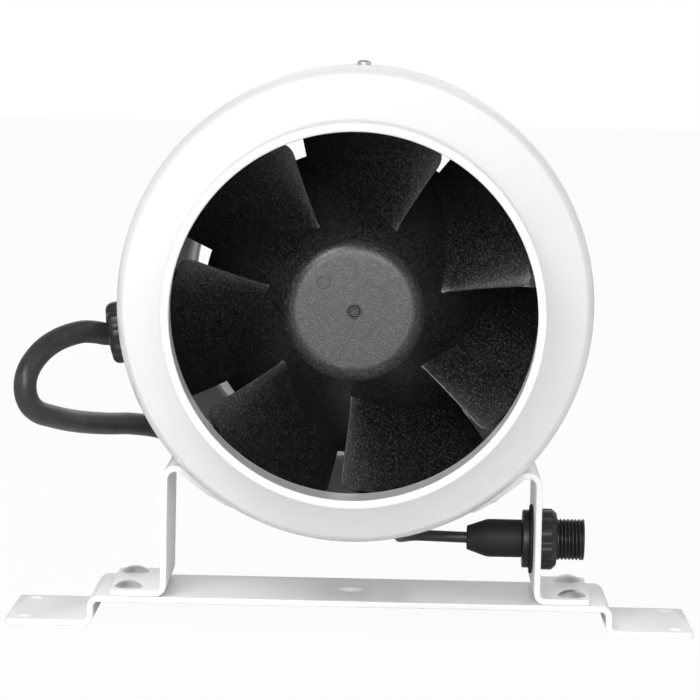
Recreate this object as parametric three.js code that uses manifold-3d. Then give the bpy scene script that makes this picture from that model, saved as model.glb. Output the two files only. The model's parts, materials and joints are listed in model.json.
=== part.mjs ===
// Inline duct fan for 150 mm ducting: a two-shell steel housing on a folded bracket, a seven-blade
// mixed-flow impeller on an external-rotor motor, guide vanes behind it, a mains cord and a control socket.
//
// Millimetres. X runs across the fan, Y along the air path from inlet to outlet, Z up.
// The origin is on the surface the feet stand on, under the middle of the fan.
// Clock angles are degrees clockwise from the top, seen from the inlet.
import * as THREE from "three";
import { mergeVertices } from "three/addons/utils/BufferGeometryUtils.js";
import Module from "manifold-3d";

const wasm = await Module();
wasm.setup();
const rad = THREE.MathUtils.degToRad;
const lerp = THREE.MathUtils.lerp;

// ---- Driving dimensions ----------------------------------------------------------------------
const GAP = 0.3; // between pieces that meet on a curve
const SEAT = 0.1; // between flat faces that rest on each other

const AXIS_Z = 133.4; // height of the fan's axis
const HALF_LENGTH = 105; // the housing runs this far each way
const COLLAR_R = 74.5; // slides into 150 mm duct
const COLLAR_LENGTH = 38;
const BODY_R = 96;
const BODY_HALF = 35; // half length of the straight barrel
const FLARE_R = 27.1; // soft curve from the barrel to the sharp edge where the shoulder's cone starts
const FLARE_TURN = 28.3; // degrees of that curve
const WALL = 1.5;
const COLLAR_WALL = 2;
const RIM_BEAD = 3.5; // thickness of the curled rim
const LIP_REACH = 12; // the outlet shell's lip inside the inlet shell
const LIP_WALL = 1.3;

const BLADES = 7;
const FIRST_BLADE = 180.8; // clock angle of a leading edge's root
const NOSE_Y = -73;
const NOSE_R = 26.5;
const HUB_REAR_Y = -12.5;
const BLADE_ROOT_FRONT_Y = -57.4;
const BLADE_ROOT_REAR_Y = -18.5;
const HUB_SLOPE = 0.591; // radius gained per millimetre along the axis
const HUB_WALL = 2.9;
const TIP_R = 91; // blade tips, clear of the barrel
const TIP_GAP = 1.1; // between the blade tips and the collar

const VANES = 7;
const FIRST_VANE = 58;
const VANE_FRONT_Y = -6;
const VANE_REAR_Y = 37;
const RING_R = BODY_R - WALL - LIP_WALL - 2 * GAP;
const RING_WALL = 1.7;
const VANE_HUB_R = 58;

const SHEET = 2.5; // bracket steel
const BRACKET_HALF_WIDTH = 32.5;
const BASE_HALF = 140;
const FOOT_START = 105.4;
const FOOT_HOLE_X = 133;
const FOOT_HOLE_Y = 25;
const FOOT_HOLE_R = 3.25;
const MIDDLE_HOLE_R = 5.25;
const STRIP_RISE = 10;
const LEG_OUTER_X = 77.2;
const FLANGE_END_X = 98;
const FOLD_R = 4.5; // middle radius of the fold at the top of a leg
const TAB_END = 60.3; // degrees below horizontal where the saddle tab ends
const RIVET_X = 90.5;
const RIVET_Y = 21.5;
const TAB_RIVET = 54; // degrees below horizontal
const TAB_RIVET_Y = 16.5;
const TAB_END_HALF_WIDTH = 20; // the tab narrows towards its end

const SHAFT_R = 3;
const CORD_R = 4.75;
const BUSHING_CLOCK = 260;
const BUSHING_Y = 18;
const CONTROL_R = 2.3; // control cable
const SOCKET_Z = 35.3;

// Sides of a circle, by its size.
const SHELL_SIDES = 40;
const HUB_SIDES = 28;
const MOTOR_SIDES = 20;
const SMALL_SIDES = 14;
const SCREW_SIDES = 10;
const HOLE_SIDES = 8;

// ---- Materials -------------------------------------------------------------------------------
function finish(color, roughness, metalness) {
  return new THREE.MeshStandardMaterial({ color, roughness, metalness });
}
const WHITE_PAINT = finish(0xf1f1ef, 0.25, 0);
const BLACK_PLASTIC = finish(0x1b1b1d, 0.55, 0);
const BLACK_NYLON = finish(0x141415, 0.45, 0);
const CORD_PVC = finish(0x18181a, 0.4, 0);
const RUBBER = finish(0x111111, 0.8, 0);
const STEEL = finish(0xb9bbbe, 0.35, 1);
const DARK_STEEL = finish(0x55575a, 0.5, 1);
const COPPER = finish(0xb3672f, 0.4, 1);
const FERRITE = finish(0x2c2c2e, 0.7, 0);
const BRASS = finish(0xc9a24b, 0.35, 1);
const BOARD_GREEN = finish(0x1e5a35, 0.5, 0);

// ---- Geometry helpers ------------------------------------------------------------------------
function toSolid(geometry) {
  const source = geometry.index ? geometry.toNonIndexed() : geometry;
  const bare = new THREE.BufferGeometry();
  bare.setAttribute("position", source.getAttribute("position"));
  const merged = mergeVertices(bare, 1e-4);
  const corners = merged.index.array;
  const faces = [];
  for (let i = 0; i < corners.length; i += 3) {
    const [a, b, c] = [corners[i], corners[i + 1], corners[i + 2]];
    if (a !== b && b !== c && c !== a) faces.push(a, b, c);
  }
  const vertProperties = merged.attributes.position.array;
  const make = (list) =>
    new wasm.Manifold(new wasm.Mesh({ numProp: 3, vertProperties, triVerts: new Uint32Array(list) }));
  const solid = make(faces);
  return solid.volume() < 0 ? make(faces.reverse()) : solid;
}

function fromSolid(solid) {
  const mesh = solid.getMesh();
  const geometry = new THREE.BufferGeometry();
  geometry.setAttribute("position", new THREE.BufferAttribute(mesh.vertProperties, 3));
  geometry.setIndex(new THREE.BufferAttribute(mesh.triVerts, 1));
  geometry.computeVertexNormals();
  return geometry;
}

function join(...geometries) {
  return fromSolid(geometries.map(toSolid).reduce((all, next) => all.add(next)));
}

function cut(geometry, ...tools) {
  return fromSolid(tools.map(toSolid).reduce((rest, tool) => rest.subtract(tool), toSolid(geometry)));
}

// A turned piece about the Y axis from [radius, y] points. A profile that isn't on the axis is closed.
function revolve(points, segments) {
  const profile = points.map(([r, y]) => new THREE.Vector2(r, y));
  if (points[0][0] > 0) profile.push(profile[0].clone());
  return fromSolid(toSolid(new THREE.LatheGeometry(profile, segments)));
}

// The same, with the profile's second number along Z.
function revolveZ(points, segments) {
  return revolve(points, segments).rotateX(Math.PI / 2);
}

// The same, with the profile's second number along X.
function revolveX(points, segments) {
  return revolve(points, segments).rotateZ(-Math.PI / 2);
}

function rodY(radius, from, to, segments) {
  return revolve([[0, from], [radius, from], [radius, to], [0, to]], segments);
}

function rodZ(radius, from, to, segments) {
  return revolveZ([[0, from], [radius, from], [radius, to], [0, to]], segments);
}

function rodX(radius, from, to, segments) {
  return revolveX([[0, from], [radius, from], [radius, to], [0, to]], segments);
}

function ring(inner, outer, from, to, segments) {
  return revolve([[inner, from], [outer, from], [outer, to], [inner, to]], segments);
}

// Points of an arc about (cx, cy), from one angle to another in degrees.
function arc(cx, cy, radius, from, to, steps) {
  return Array.from({ length: steps + 1 }, (_, i) => {
    const a = rad(lerp(from, to, i / steps));
    return [cx + radius * Math.cos(a), cy + radius * Math.sin(a)];
  });
}

// A shape drawn in X and Z, as thick as depth along Y, centred on Y = 0.
function extrudeAlongY(shape, depth) {
  const block = new THREE.ExtrudeGeometry(shape, { depth, bevelEnabled: false, curveSegments: 6 });
  return block.rotateX(Math.PI / 2).translate(0, depth / 2, 0);
}

// Folded sheet: the band of the given thickness around a middle line of [x, z] points.
function foldedSheet(line, thickness, depth) {
  const side = (sign) =>
    line.map(([x, z], i) => {
      const [ax, az] = line[Math.max(i - 1, 0)];
      const [bx, bz] = line[Math.min(i + 1, line.length - 1)];
      const length = Math.hypot(bx - ax, bz - az);
      const reach = (sign * thickness) / 2 / length;
      return new THREE.Vector2(x - (bz - az) * reach, z + (bx - ax) * reach);
    });
  return extrudeAlongY(new THREE.Shape([...side(1), ...side(-1).reverse()]), depth);
}

// A round cord along a smooth curve through the points.
function cordAlong(points, radius, steps, sides) {
  const path = new THREE.CatmullRomCurve3(points.map((p) => new THREE.Vector3(...p)), false, "centripetal");
  const rim = arc(0, 0, radius, 0, 360, sides).slice(1);
  const circle = new THREE.Shape(rim.map((p) => new THREE.Vector2(...p)));
  return fromSolid(toSolid(new THREE.ExtrudeGeometry(circle, { steps, extrudePath: path })));
}

// A thin closed blade around the surface point(u, v), with its own thickness at each u.
function blade(point, thicknessAt, across, along) {
  const step = 1e-3;
  const sides = [1, -1].map((sign) => {
    const rows = [];
    for (let i = 0; i <= across; i++) {
      for (let j = 0; j <= along; j++) {
        const [u, v] = [i / across, j / along];
        const du = point(Math.min(u + step, 1), v).sub(point(Math.max(u - step, 0), v));
        const dv = point(u, Math.min(v + step, 1)).sub(point(u, Math.max(v - step, 0)));
        const normal = du.cross(dv).normalize();
        rows.push(point(u, v).addScaledVector(normal, (sign * thicknessAt(u)) / 2));
      }
    }
    return rows;
  });
  const vertices = [...sides[0], ...sides[1]];
  const back = sides[0].length;
  const at = (i, j) => i * (along + 1) + j;
  const faces = [];
  const quad = (a, b, c, d) => faces.push(a, b, c, a, c, d);
  for (let i = 0; i < across; i++) {
    for (let j = 0; j < along; j++) {
      const [a, b, c, d] = [at(i, j), at(i + 1, j), at(i + 1, j + 1), at(i, j + 1)];
      quad(a, b, c, d);
      quad(back + d, back + c, back + b, back + a);
    }
    quad(back + at(i, 0), back + at(i + 1, 0), at(i + 1, 0), at(i, 0));
    quad(at(i, along), at(i + 1, along), back + at(i + 1, along), back + at(i, along));
  }
  for (let j = 0; j < along; j++) {
    quad(at(0, j), at(0, j + 1), back + at(0, j + 1), back + at(0, j));
    quad(back + at(across, j), back + at(across, j + 1), at(across, j + 1), at(across, j));
  }
  const geometry = new THREE.BufferGeometry().setFromPoints(vertices);
  return geometry.setIndex(faces);
}

// A point at a clock angle and radius around the fan's axis, with the axis at Z = 0.
function onClock(clock, radius, y) {
  return new THREE.Vector3(radius * Math.sin(rad(clock)), y, radius * Math.cos(rad(clock)));
}

// Turns geometry that stands along +Z to stand outwards at a clock angle, at a place along Y.
function atClock(geometry, clock, y) {
  return geometry.rotateY(rad(clock)).translate(0, y, 0);
}

function everyClock(count, first, make) {
  return Array.from({ length: count }, (_, i) => make(first + (360 / count) * i, i));
}

// ---- Assembly --------------------------------------------------------------------------------
const fan = new THREE.Group();
const aroundAxis = new THREE.Group(); // holds everything placed about the fan's axis
aroundAxis.position.z = AXIS_Z;
fan.add(aroundAxis);

function piece(parent, name, material, geometry) {
  const mesh = new THREE.Mesh(geometry, material);
  mesh.name = name;
  parent.add(mesh);
}

// ---- Housing ---------------------------------------------------------------------------------
const CASING_SCREW_Y = -5;
const CASING_SCREW_R = 1.5;
const FIRST_CASING_SCREW = 0.8;
const GLAND_R = 8;
const LEAD_R = 3.4;
const TAB_HOLE_R = 2.5;
const GROMMET_Y = 57;
const GROMMET_CLOCK = 166.5;
const GROMMET_NECK_R = 4;
const SHOULDER_Y = HALF_LENGTH - COLLAR_LENGTH; // where the collar meets the shoulder
const flare = (radius) => arc(BODY_R - FLARE_R, BODY_HALF, radius, 0, FLARE_TURN, 2);
const [CREASE_R, CREASE_Y] = flare(FLARE_R).at(-1);
const CONE_SLOPE = (CREASE_R - COLLAR_R) / (SHOULDER_Y - CREASE_Y);

// Half a shell from its seam to its rim: the outer skin, the curled rim, and the inner skin back.
function shellSkin(side, seamY) {
  const rimCentre = HALF_LENGTH - RIM_BEAD / 2;
  const beadR = COLLAR_R - RIM_BEAD / 2;
  const skin = [
    [BODY_R, seamY],
    ...flare(FLARE_R),
    [COLLAR_R, SHOULDER_Y],
    ...arc(beadR, rimCentre, RIM_BEAD / 2, 0, 180, 3),
    [COLLAR_R - RIM_BEAD, rimCentre - RIM_BEAD / 2],
    [COLLAR_R - COLLAR_WALL, rimCentre - RIM_BEAD / 2],
    [COLLAR_R - COLLAR_WALL, SHOULDER_Y - WALL * 0.4],
    ...flare(FLARE_R - WALL).reverse(),
  ];
  return skin.map(([r, y]) => [r, side * y]);
}

function tabRivetHoles(y) {
  return [90 + TAB_RIVET, 270 - TAB_RIVET].map((clock) =>
    atClock(rodZ(TAB_HOLE_R, BODY_R - 4, BODY_R + 4, HOLE_SIDES), clock, y),
  );
}

function casingScrewHoles() {
  return everyClock(3, FIRST_CASING_SCREW, (clock) =>
    atClock(rodZ(CASING_SCREW_R + GAP, RING_R - 4, BODY_R + 4, HOLE_SIDES), clock, CASING_SCREW_Y),
  );
}

// Carries geometry from the +Z axis to the grommet's place, square to the outlet shoulder.
function atGrommet(geometry) {
  const facet = Math.cos(Math.PI / SHELL_SIDES); // the middle of a flat side is nearer the axis
  const wallR = (COLLAR_R + (SHOULDER_Y - GROMMET_Y) * CONE_SLOPE) * facet;
  const tilt = Math.atan(CONE_SLOPE);
  return atClock(
    geometry.translate(0, 0, -WALL / 2).rotateX(-tilt).translate(0, 0, wallR),
    GROMMET_CLOCK,
    GROMMET_Y,
  );
}

function inletShell() {
  const skin = [...shellSkin(-1, GAP / 2), [BODY_R - WALL, -GAP / 2]];
  return cut(revolve(skin, SHELL_SIDES), ...casingScrewHoles(), ...tabRivetHoles(-TAB_RIVET_Y));
}

function outletShell() {
  const innerR = BODY_R - WALL;
  const lipR = innerR - GAP;
  const lip = [
    [innerR, LIP_REACH / 2],
    [lipR - LIP_WALL, LIP_REACH / 2],
    [lipR - LIP_WALL, -LIP_REACH],
    [lipR, -LIP_REACH],
    [lipR, GAP / 2],
  ];
  return cut(
    revolve([...shellSkin(1, GAP / 2), ...lip], SHELL_SIDES),
    ...casingScrewHoles(),
    ...tabRivetHoles(TAB_RIVET_Y),
    atClock(rodZ(GLAND_R + GAP, BODY_R - 4, BODY_R + 4, SMALL_SIDES), BUSHING_CLOCK, BUSHING_Y),
    atGrommet(rodZ(GROMMET_NECK_R + GAP, -5, 5, SCREW_SIDES)),
  );
}

// A pan-head screw standing along +Z: the head's underside is at Z = 0 and the shank runs down.
function panScrew(shankR, length, headR, headHeight) {
  return revolveZ(
    [
      [0, -length],
      [shankR, -length],
      [shankR, 0],
      [headR, 0],
      [headR, headHeight * 0.5],
      [headR * 0.75, headHeight],
      [0, headHeight],
    ],
    SCREW_SIDES,
  );
}

piece(aroundAxis, "inlet_shell", WHITE_PAINT, inletShell());
piece(aroundAxis, "outlet_shell", WHITE_PAINT, outletShell());
everyClock(3, FIRST_CASING_SCREW, (clock, i) => {
  const screw = panScrew(CASING_SCREW_R, 6, 2.9, 2.1).translate(0, 0, BODY_R + SEAT);
  piece(aroundAxis, `casing_screw_${i + 1}`, STEEL, atClock(screw, clock, CASING_SCREW_Y));
});

// ---- Impeller and rotor ----------------------------------------------------------------------
const CUP_R = 34;
const CUP_WALL = 1.6;
const CUP_FRONT_Y = -53.8;
const CUP_REAR_Y = -16;
const SLEEVE_WALL = 2;
const MAGNET_WALL = 2.2;

function hubR(y) {
  return NOSE_R + HUB_SLOPE * (y - NOSE_Y);
}

// The blade tips follow the inside of the collar and then the shoulder.
function tipLimit(y) {
  const pastCollar = Math.max(0, y + SHOULDER_Y - 2.3);
  return Math.min(TIP_R, COLLAR_R - COLLAR_WALL - TIP_GAP + pastCollar);
}

// A blade's camber surface: chord runs from the leading to the trailing edge, span from root to tip.
function impellerBlade(chord, span) {
  const cornerStart = 0.82; // the leading edge's outer corner is rounded off from this span outwards
  const cornerDepth = 0.085;
  const past = Math.max(0, (span - cornerStart) / (1 - cornerStart));
  const cutBack = cornerDepth * (1 - Math.sqrt(Math.max(0, 1 - past * past)));
  const along = cutBack + (1 - cutBack) * chord;
  const depth = Math.pow(along, 1.15);
  const rootY = lerp(BLADE_ROOT_FRONT_Y, BLADE_ROOT_REAR_Y, depth);
  const tipY = lerp(-71, -23, depth);
  const radius = lerp(hubR(rootY) - HUB_WALL / 3, tipLimit(tipY), span);
  const clock = lerp(lerp(0, -46.6, along), lerp(2.8, -43, along), span);
  return onClock(clock, radius, lerp(rootY, tipY, span));
}

function bladeThickness(chord) {
  return 1.1 + 1.2 * Math.sin(Math.PI * Math.min(0.9, chord + 0.1));
}

function impeller() {
  const innerR = (y) => hubR(y) - HUB_WALL;
  const hub = revolve(
    [
      [0, NOSE_Y],
      [NOSE_R - 4.5, NOSE_Y],
      [NOSE_R - 1.6, NOSE_Y + 0.9],
      [hubR(NOSE_Y + 3.2), NOSE_Y + 3.2],
      [hubR(HUB_REAR_Y), HUB_REAR_Y],
      [innerR(HUB_REAR_Y), HUB_REAR_Y],
      [innerR(NOSE_Y + 3.6), NOSE_Y + 3.6],
      [0, NOSE_Y + 2.8],
    ],
    HUB_SIDES,
  );
  const sleeve = ring(CUP_R + GAP, CUP_R + GAP + SLEEVE_WALL, CUP_FRONT_Y - 1, -20, MOTOR_SIDES);
  const blades = everyClock(BLADES, FIRST_BLADE, (clock) =>
    blade(impellerBlade, bladeThickness, 5, 3).rotateY(rad(clock)),
  );
  return join(hub, sleeve, ...blades);
}

// Steel cup of the external rotor, with a boss that grips the shaft.
function rotorCup() {
  return revolve(
    [
      [SHAFT_R + 0.1, CUP_FRONT_Y],
      [CUP_R, CUP_FRONT_Y],
      [CUP_R, CUP_REAR_Y],
      [CUP_R - CUP_WALL, CUP_REAR_Y],
      [CUP_R - CUP_WALL, CUP_FRONT_Y + 2],
      [8, CUP_FRONT_Y + 2],
      [7, CUP_FRONT_Y + 8],
      [SHAFT_R + 0.1, CUP_FRONT_Y + 8],
    ],
    MOTOR_SIDES,
  );
}

const magnetR = CUP_R - CUP_WALL - GAP;
piece(aroundAxis, "impeller", BLACK_PLASTIC, impeller());
piece(aroundAxis, "rotor_cup", DARK_STEEL, rotorCup());
piece(aroundAxis, "magnet_ring", FERRITE, ring(magnetR - MAGNET_WALL, magnetR, -47, -20, MOTOR_SIDES));
piece(aroundAxis, "motor_shaft", STEEL, rodY(SHAFT_R, CUP_FRONT_Y, -9, MOTOR_SIDES));
piece(aroundAxis, "shaft_clip", DARK_STEEL, ring(SHAFT_R + 0.1, 5.2, -12.4, -11.6, MOTOR_SIDES));

// ---- Fixed half of the motor -----------------------------------------------------------------
const BEARING_R = 9.5;
const BEARING_WIDTH = 6;
const TUBE_R = 12;
const FRONT_BEARING_Y = -43;
const REAR_BEARING_Y = -19.2;
const CORE_FRONT_Y = -42;
const CORE_REAR_Y = -25;
const CORE_R = magnetR - MAGNET_WALL - 0.6;
const FLANGE_FRONT_Y = -11;
const FLANGE_WALL = 3;
const WEB_Y = FLANGE_FRONT_Y + FLANGE_WALL + SEAT; // front face of the guide-vane hub's web
const WEB_WALL = 3;
const MOTOR_SCREW_R = 1.9;
const MOTOR_SCREW_PITCH_R = 43;

function motorScrewHoles() {
  return everyClock(3, 60, (clock) => {
    const place = onClock(clock, MOTOR_SCREW_PITCH_R, 0);
    return rodY(MOTOR_SCREW_R + GAP, -20, 10, HOLE_SIDES).translate(place.x, 0, place.z);
  });
}

// Bearing tube and mounting flange in one casting.
function motorFlange() {
  const seatR = BEARING_R + GAP;
  const shoulderR = BEARING_R - 1.5;
  const body = revolve(
    [
      [seatR, FRONT_BEARING_Y - 1],
      [TUBE_R, FRONT_BEARING_Y - 1],
      [TUBE_R, FLANGE_FRONT_Y],
      [50, FLANGE_FRONT_Y],
      [50, FLANGE_FRONT_Y + FLANGE_WALL],
      [seatR, FLANGE_FRONT_Y + FLANGE_WALL],
      [seatR, REAR_BEARING_Y - GAP],
      [shoulderR, REAR_BEARING_Y - GAP],
      [shoulderR, FRONT_BEARING_Y + BEARING_WIDTH + GAP],
      [seatR, FRONT_BEARING_Y + BEARING_WIDTH + GAP],
    ],
    MOTOR_SIDES,
  );
  return cut(body, ...motorScrewHoles());
}

function bearing(y) {
  const groove = 0.5;
  return revolve(
    [
      [SHAFT_R + 0.08, y],
      [SHAFT_R + 1.5, y],
      [SHAFT_R + 1.5, y + groove],
      [BEARING_R - 1.5, y + groove],
      [BEARING_R - 1.5, y],
      [BEARING_R, y],
      [BEARING_R, y + BEARING_WIDTH],
      [SHAFT_R + 0.08, y + BEARING_WIDTH],
    ],
    MOTOR_SIDES,
  );
}

// Laminated stator: a yoke around the bearing tube with nine T-shaped teeth.
function statorCore() {
  const length = CORE_REAR_Y - CORE_FRONT_Y;
  const yoke = ring(TUBE_R + GAP, 17, CORE_FRONT_Y, CORE_REAR_Y, MOTOR_SIDES);
  const teeth = everyClock(9, 0, (clock) => {
    const tooth = new THREE.Shape(
      [
        [-2.2, 15.5],
        [2.2, 15.5],
        [2.2, 26],
        [7.6, 27.2],
        [7.0, CORE_R - 1.1],
        [0, CORE_R],
        [-7.0, CORE_R - 1.1],
        [-7.6, 27.2],
        [-2.2, 26],
      ].map((p) => new THREE.Vector2(...p)),
    );
    const block = extrudeAlongY(tooth, length);
    return block.translate(0, (CORE_FRONT_Y + CORE_REAR_Y) / 2, 0).rotateY(rad(clock));
  });
  return join(yoke, ...teeth);
}

// The end turns of the copper windings, rounded over at one end of the core.
function endWinding(from, to) {
  const middle = (from + to) / 2;
  return revolve(
    [
      [18.5, from],
      [24.5, from],
      [26, middle],
      [24.5, to],
      [18.5, to],
      [17.5, middle],
    ],
    MOTOR_SIDES,
  );
}

piece(aroundAxis, "motor_flange", STEEL, motorFlange());
piece(aroundAxis, "front_bearing", STEEL, bearing(FRONT_BEARING_Y));
piece(aroundAxis, "rear_bearing", STEEL, bearing(REAR_BEARING_Y));
piece(aroundAxis, "stator_core", DARK_STEEL, statorCore());
piece(aroundAxis, "front_end_winding", COPPER, endWinding(CORE_FRONT_Y - 5, CORE_FRONT_Y - GAP));
piece(aroundAxis, "rear_end_winding", COPPER, endWinding(CORE_REAR_Y + GAP, CORE_REAR_Y + 5));
piece(aroundAxis, "sensor_board", BOARD_GREEN, ring(TUBE_R + 1, 30, -15.6, -14, MOTOR_SIDES));
everyClock(3, 60, (clock, i) => {
  const place = onClock(clock, MOTOR_SCREW_PITCH_R, FLANGE_FRONT_Y - SEAT);
  const screw = panScrew(MOTOR_SCREW_R, 8, 3.5, 2.2).rotateX(Math.PI / 2);
  piece(aroundAxis, `motor_screw_${i + 1}`, STEEL, screw.translate(place.x, place.y, place.z));
});

// ---- Guide vanes, their hub and what it holds ------------------------------------------------
const POST_R = 4;
const POST_PITCH_R = 35.5;
const CAP_REAR_Y = 68;
const CAP_WALL = 2;
const CAP_SCREW_R = 1.5;
const CAP_SCREW_REACH = 16;
const POST_END_Y = CAP_REAR_Y - CAP_WALL - GAP;

// A guide vane's middle surface: it turns the swirling air back along the axis.
function guideVane(along, span) {
  const y = lerp(VANE_FRONT_Y, VANE_REAR_Y, along);
  const radius = lerp(VANE_HUB_R - 2, RING_R - RING_WALL / 2, span);
  const turn = 14 * (1 - (1 - along) ** 2);
  const sweep = 11 * Math.pow(span, 0.85);
  return onClock(turn - sweep, radius, y);
}

function guideVanes() {
  const hub = revolve(
    [
      [12, WEB_Y],
      [VANE_HUB_R, WEB_Y],
      [VANE_HUB_R - 1, 34],
      [VANE_HUB_R - 5.5, 40],
      [VANE_HUB_R - 8, 40],
      [VANE_HUB_R - 3.5, 33],
      [VANE_HUB_R - 2.5, WEB_Y + WEB_WALL],
      [12, WEB_Y + WEB_WALL],
    ],
    HUB_SIDES,
  );
  const band = ring(RING_R - RING_WALL, RING_R, VANE_FRONT_Y - 4, VANE_REAR_Y + 1, SHELL_SIDES);
  const vanes = everyClock(VANES, FIRST_VANE, (clock) =>
    blade(guideVane, () => 2, 3, 2).rotateY(rad(clock)),
  );
  const posts = everyClock(3, 0, (clock) => {
    const place = onClock(clock, POST_PITCH_R, 0);
    return rodY(POST_R, WEB_Y + 1, POST_END_Y, SCREW_SIDES).translate(place.x, 0, place.z);
  });
  const postHoles = everyClock(3, 0, (clock) => {
    const place = onClock(clock, POST_PITCH_R, 0);
    const floorY = POST_END_Y - CAP_SCREW_REACH - 1;
    const hole = rodY(CAP_SCREW_R + GAP, floorY, POST_END_Y + 1, HOLE_SIDES);
    return hole.translate(place.x, 0, place.z);
  });
  return cut(
    join(hub, band, ...vanes, ...posts),
    ...motorScrewHoles(),
    ...postHoles,
    ...casingScrewHoles(),
    atClock(rodZ(LEAD_R + GAP, VANE_HUB_R - 6, RING_R + 2, SCREW_SIDES), BUSHING_CLOCK, BUSHING_Y),
  );
}

// The tail cap that closes the electronics space behind the guide vanes.
function rearCap() {
  const frontR = VANE_HUB_R - 6;
  const rearR = 44.5;
  const cap = revolve(
    [
      [0, CAP_REAR_Y - CAP_WALL],
      [rearR - 4.5, CAP_REAR_Y - CAP_WALL],
      [rearR - CAP_WALL, CAP_REAR_Y - 4],
      [frontR - CAP_WALL, 40 + GAP],
      [frontR, 40 + GAP],
      [rearR, CAP_REAR_Y - 3],
      [rearR - 1, CAP_REAR_Y - 1],
      [rearR - 3, CAP_REAR_Y],
      [0, CAP_REAR_Y],
    ],
    HUB_SIDES,
  );
  const holes = everyClock(3, 0, (clock) => {
    const place = onClock(clock, POST_PITCH_R, 0);
    return rodY(CAP_SCREW_R + GAP, CAP_REAR_Y - 5, CAP_REAR_Y + 5, HOLE_SIDES).translate(place.x, 0, place.z);
  });
  return cut(cap, ...holes);
}

piece(aroundAxis, "guide_vanes", BLACK_PLASTIC, guideVanes());
piece(aroundAxis, "rear_cap", BLACK_PLASTIC, rearCap());
everyClock(3, 0, (clock, i) => {
  const place = onClock(clock, POST_PITCH_R, CAP_REAR_Y + SEAT);
  const screw = panScrew(CAP_SCREW_R, CAP_SCREW_REACH, 3, 2).rotateX(-Math.PI / 2);
  piece(aroundAxis, `cap_screw_${i + 1}`, STEEL, screw.translate(place.x, place.y, place.z));
});

const BOARD_Y = 6;
const BOARD_WALL = 1.6;
piece(aroundAxis, "driver_board", BOARD_GREEN, rodY(31, BOARD_Y, BOARD_Y + BOARD_WALL, MOTOR_SIDES));
piece(
  aroundAxis,
  "smoothing_capacitor",
  CORD_PVC,
  rodY(8, BOARD_Y + BOARD_WALL + GAP, BOARD_Y + 30, SMALL_SIDES).translate(-14, 0, -12),
);
piece(
  aroundAxis,
  "mains_choke",
  COPPER,
  ring(4, 10, BOARD_Y + BOARD_WALL + GAP, BOARD_Y + 11, SMALL_SIDES).translate(14, 0, -8),
);

// ---- Bracket ---------------------------------------------------------------------------------
const BEND_R = 3.2; // middle radius of the bends
const BEND_STEPS = 3;
const RIVET_SHANK_R = 2.9;
const RIVET_HOLE_R = RIVET_SHANK_R + GAP;
const STRIP_TOP = STRIP_RISE + SHEET;
const LEG_MID_X = LEG_OUTER_X - SHEET / 2;
const SADDLE_R = BODY_R + GAP + SHEET / 2; // middle of the tab that lies against the barrel
const FOLD_X = LEG_MID_X - FOLD_R;
const FOLD_DROP = Math.sqrt((SADDLE_R + FOLD_R) ** 2 - FOLD_X ** 2);
const TAB_START = THREE.MathUtils.radToDeg(Math.atan2(FOLD_DROP, FOLD_X));
const SOCKET_THREAD_R = 8.5;

function basePlate() {
  const low = SHEET / 2;
  const high = STRIP_RISE + SHEET / 2;
  const half = [
    ...arc(FOOT_START - BEND_R, high - BEND_R, BEND_R, 90, 0, BEND_STEPS),
    ...arc(FOOT_START + BEND_R, low + BEND_R, BEND_R, 180, 270, BEND_STEPS),
    [BASE_HALF, low],
  ];
  const mirrored = half.map(([x, z]) => [-x, z]).reverse();
  const sheet = foldedSheet([...mirrored, ...half], SHEET, 2 * BRACKET_HALF_WIDTH);
  const holes = [rodZ(MIDDLE_HOLE_R, 0, 20, SMALL_SIDES)];
  for (const side of [-1, 1]) {
    for (const end of [-1, 1]) {
      const footHole = rodZ(FOOT_HOLE_R, -5, 8, SCREW_SIDES);
      const rivetHole = rodZ(RIVET_HOLE_R, 5, 20, SCREW_SIDES);
      holes.push(footHole.translate(side * FOOT_HOLE_X, end * FOOT_HOLE_Y, 0));
      holes.push(rivetHole.translate(side * RIVET_X, end * RIVET_Y, 0));
    }
  }
  return cut(sheet, ...holes);
}

// What is cut from one side of a tab so that it narrows from the fold to its end.
function tabCorner(end) {
  const startX = FOLD_X - 2;
  const endX = SADDLE_R * Math.cos(rad(TAB_END));
  const narrowing = (BRACKET_HALF_WIDTH - TAB_END_HALF_WIDTH) / (startX - endX);
  const pastX = endX - 6;
  const pastY = BRACKET_HALF_WIDTH - (startX - pastX) * narrowing;
  const outside = BRACKET_HALF_WIDTH + 1;
  const plan = new THREE.Shape([
    new THREE.Vector2(startX + 1 / narrowing, end * outside),
    new THREE.Vector2(pastX, end * outside),
    new THREE.Vector2(pastX, end * pastY),
  ]);
  const corner = new THREE.ExtrudeGeometry(plan, { depth: AXIS_Z - STRIP_TOP, bevelEnabled: false });
  return corner.translate(0, 0, STRIP_TOP);
}

// One leg: a flange on the base, the upright, the fold over the top and the tab against the barrel.
function legSheet() {
  const flangeZ = STRIP_TOP + SEAT + SHEET / 2;
  const foldZ = AXIS_Z - FOLD_DROP;
  const line = [
    [FLANGE_END_X, flangeZ],
    ...arc(LEG_MID_X + BEND_R, flangeZ + BEND_R, BEND_R, 270, 180, BEND_STEPS),
    ...arc(FOLD_X, foldZ, FOLD_R, 0, 180 - TAB_START, 6),
    ...arc(0, AXIS_Z, SADDLE_R, -TAB_START - 2, -TAB_END, 4),
  ];
  const holes = [];
  for (const end of [-1, 1]) {
    holes.push(rodZ(RIVET_HOLE_R, 5, 20, SCREW_SIDES).translate(RIVET_X, end * RIVET_Y, 0));
    const tabHole = rodZ(TAB_HOLE_R, BODY_R - 5, BODY_R + 8, HOLE_SIDES);
    holes.push(atClock(tabHole, 90 + TAB_RIVET, end * TAB_RIVET_Y).translate(0, 0, AXIS_Z));
    holes.push(tabCorner(end));
  }
  return cut(foldedSheet(line, SHEET, 2 * BRACKET_HALF_WIDTH), ...holes);
}

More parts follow.
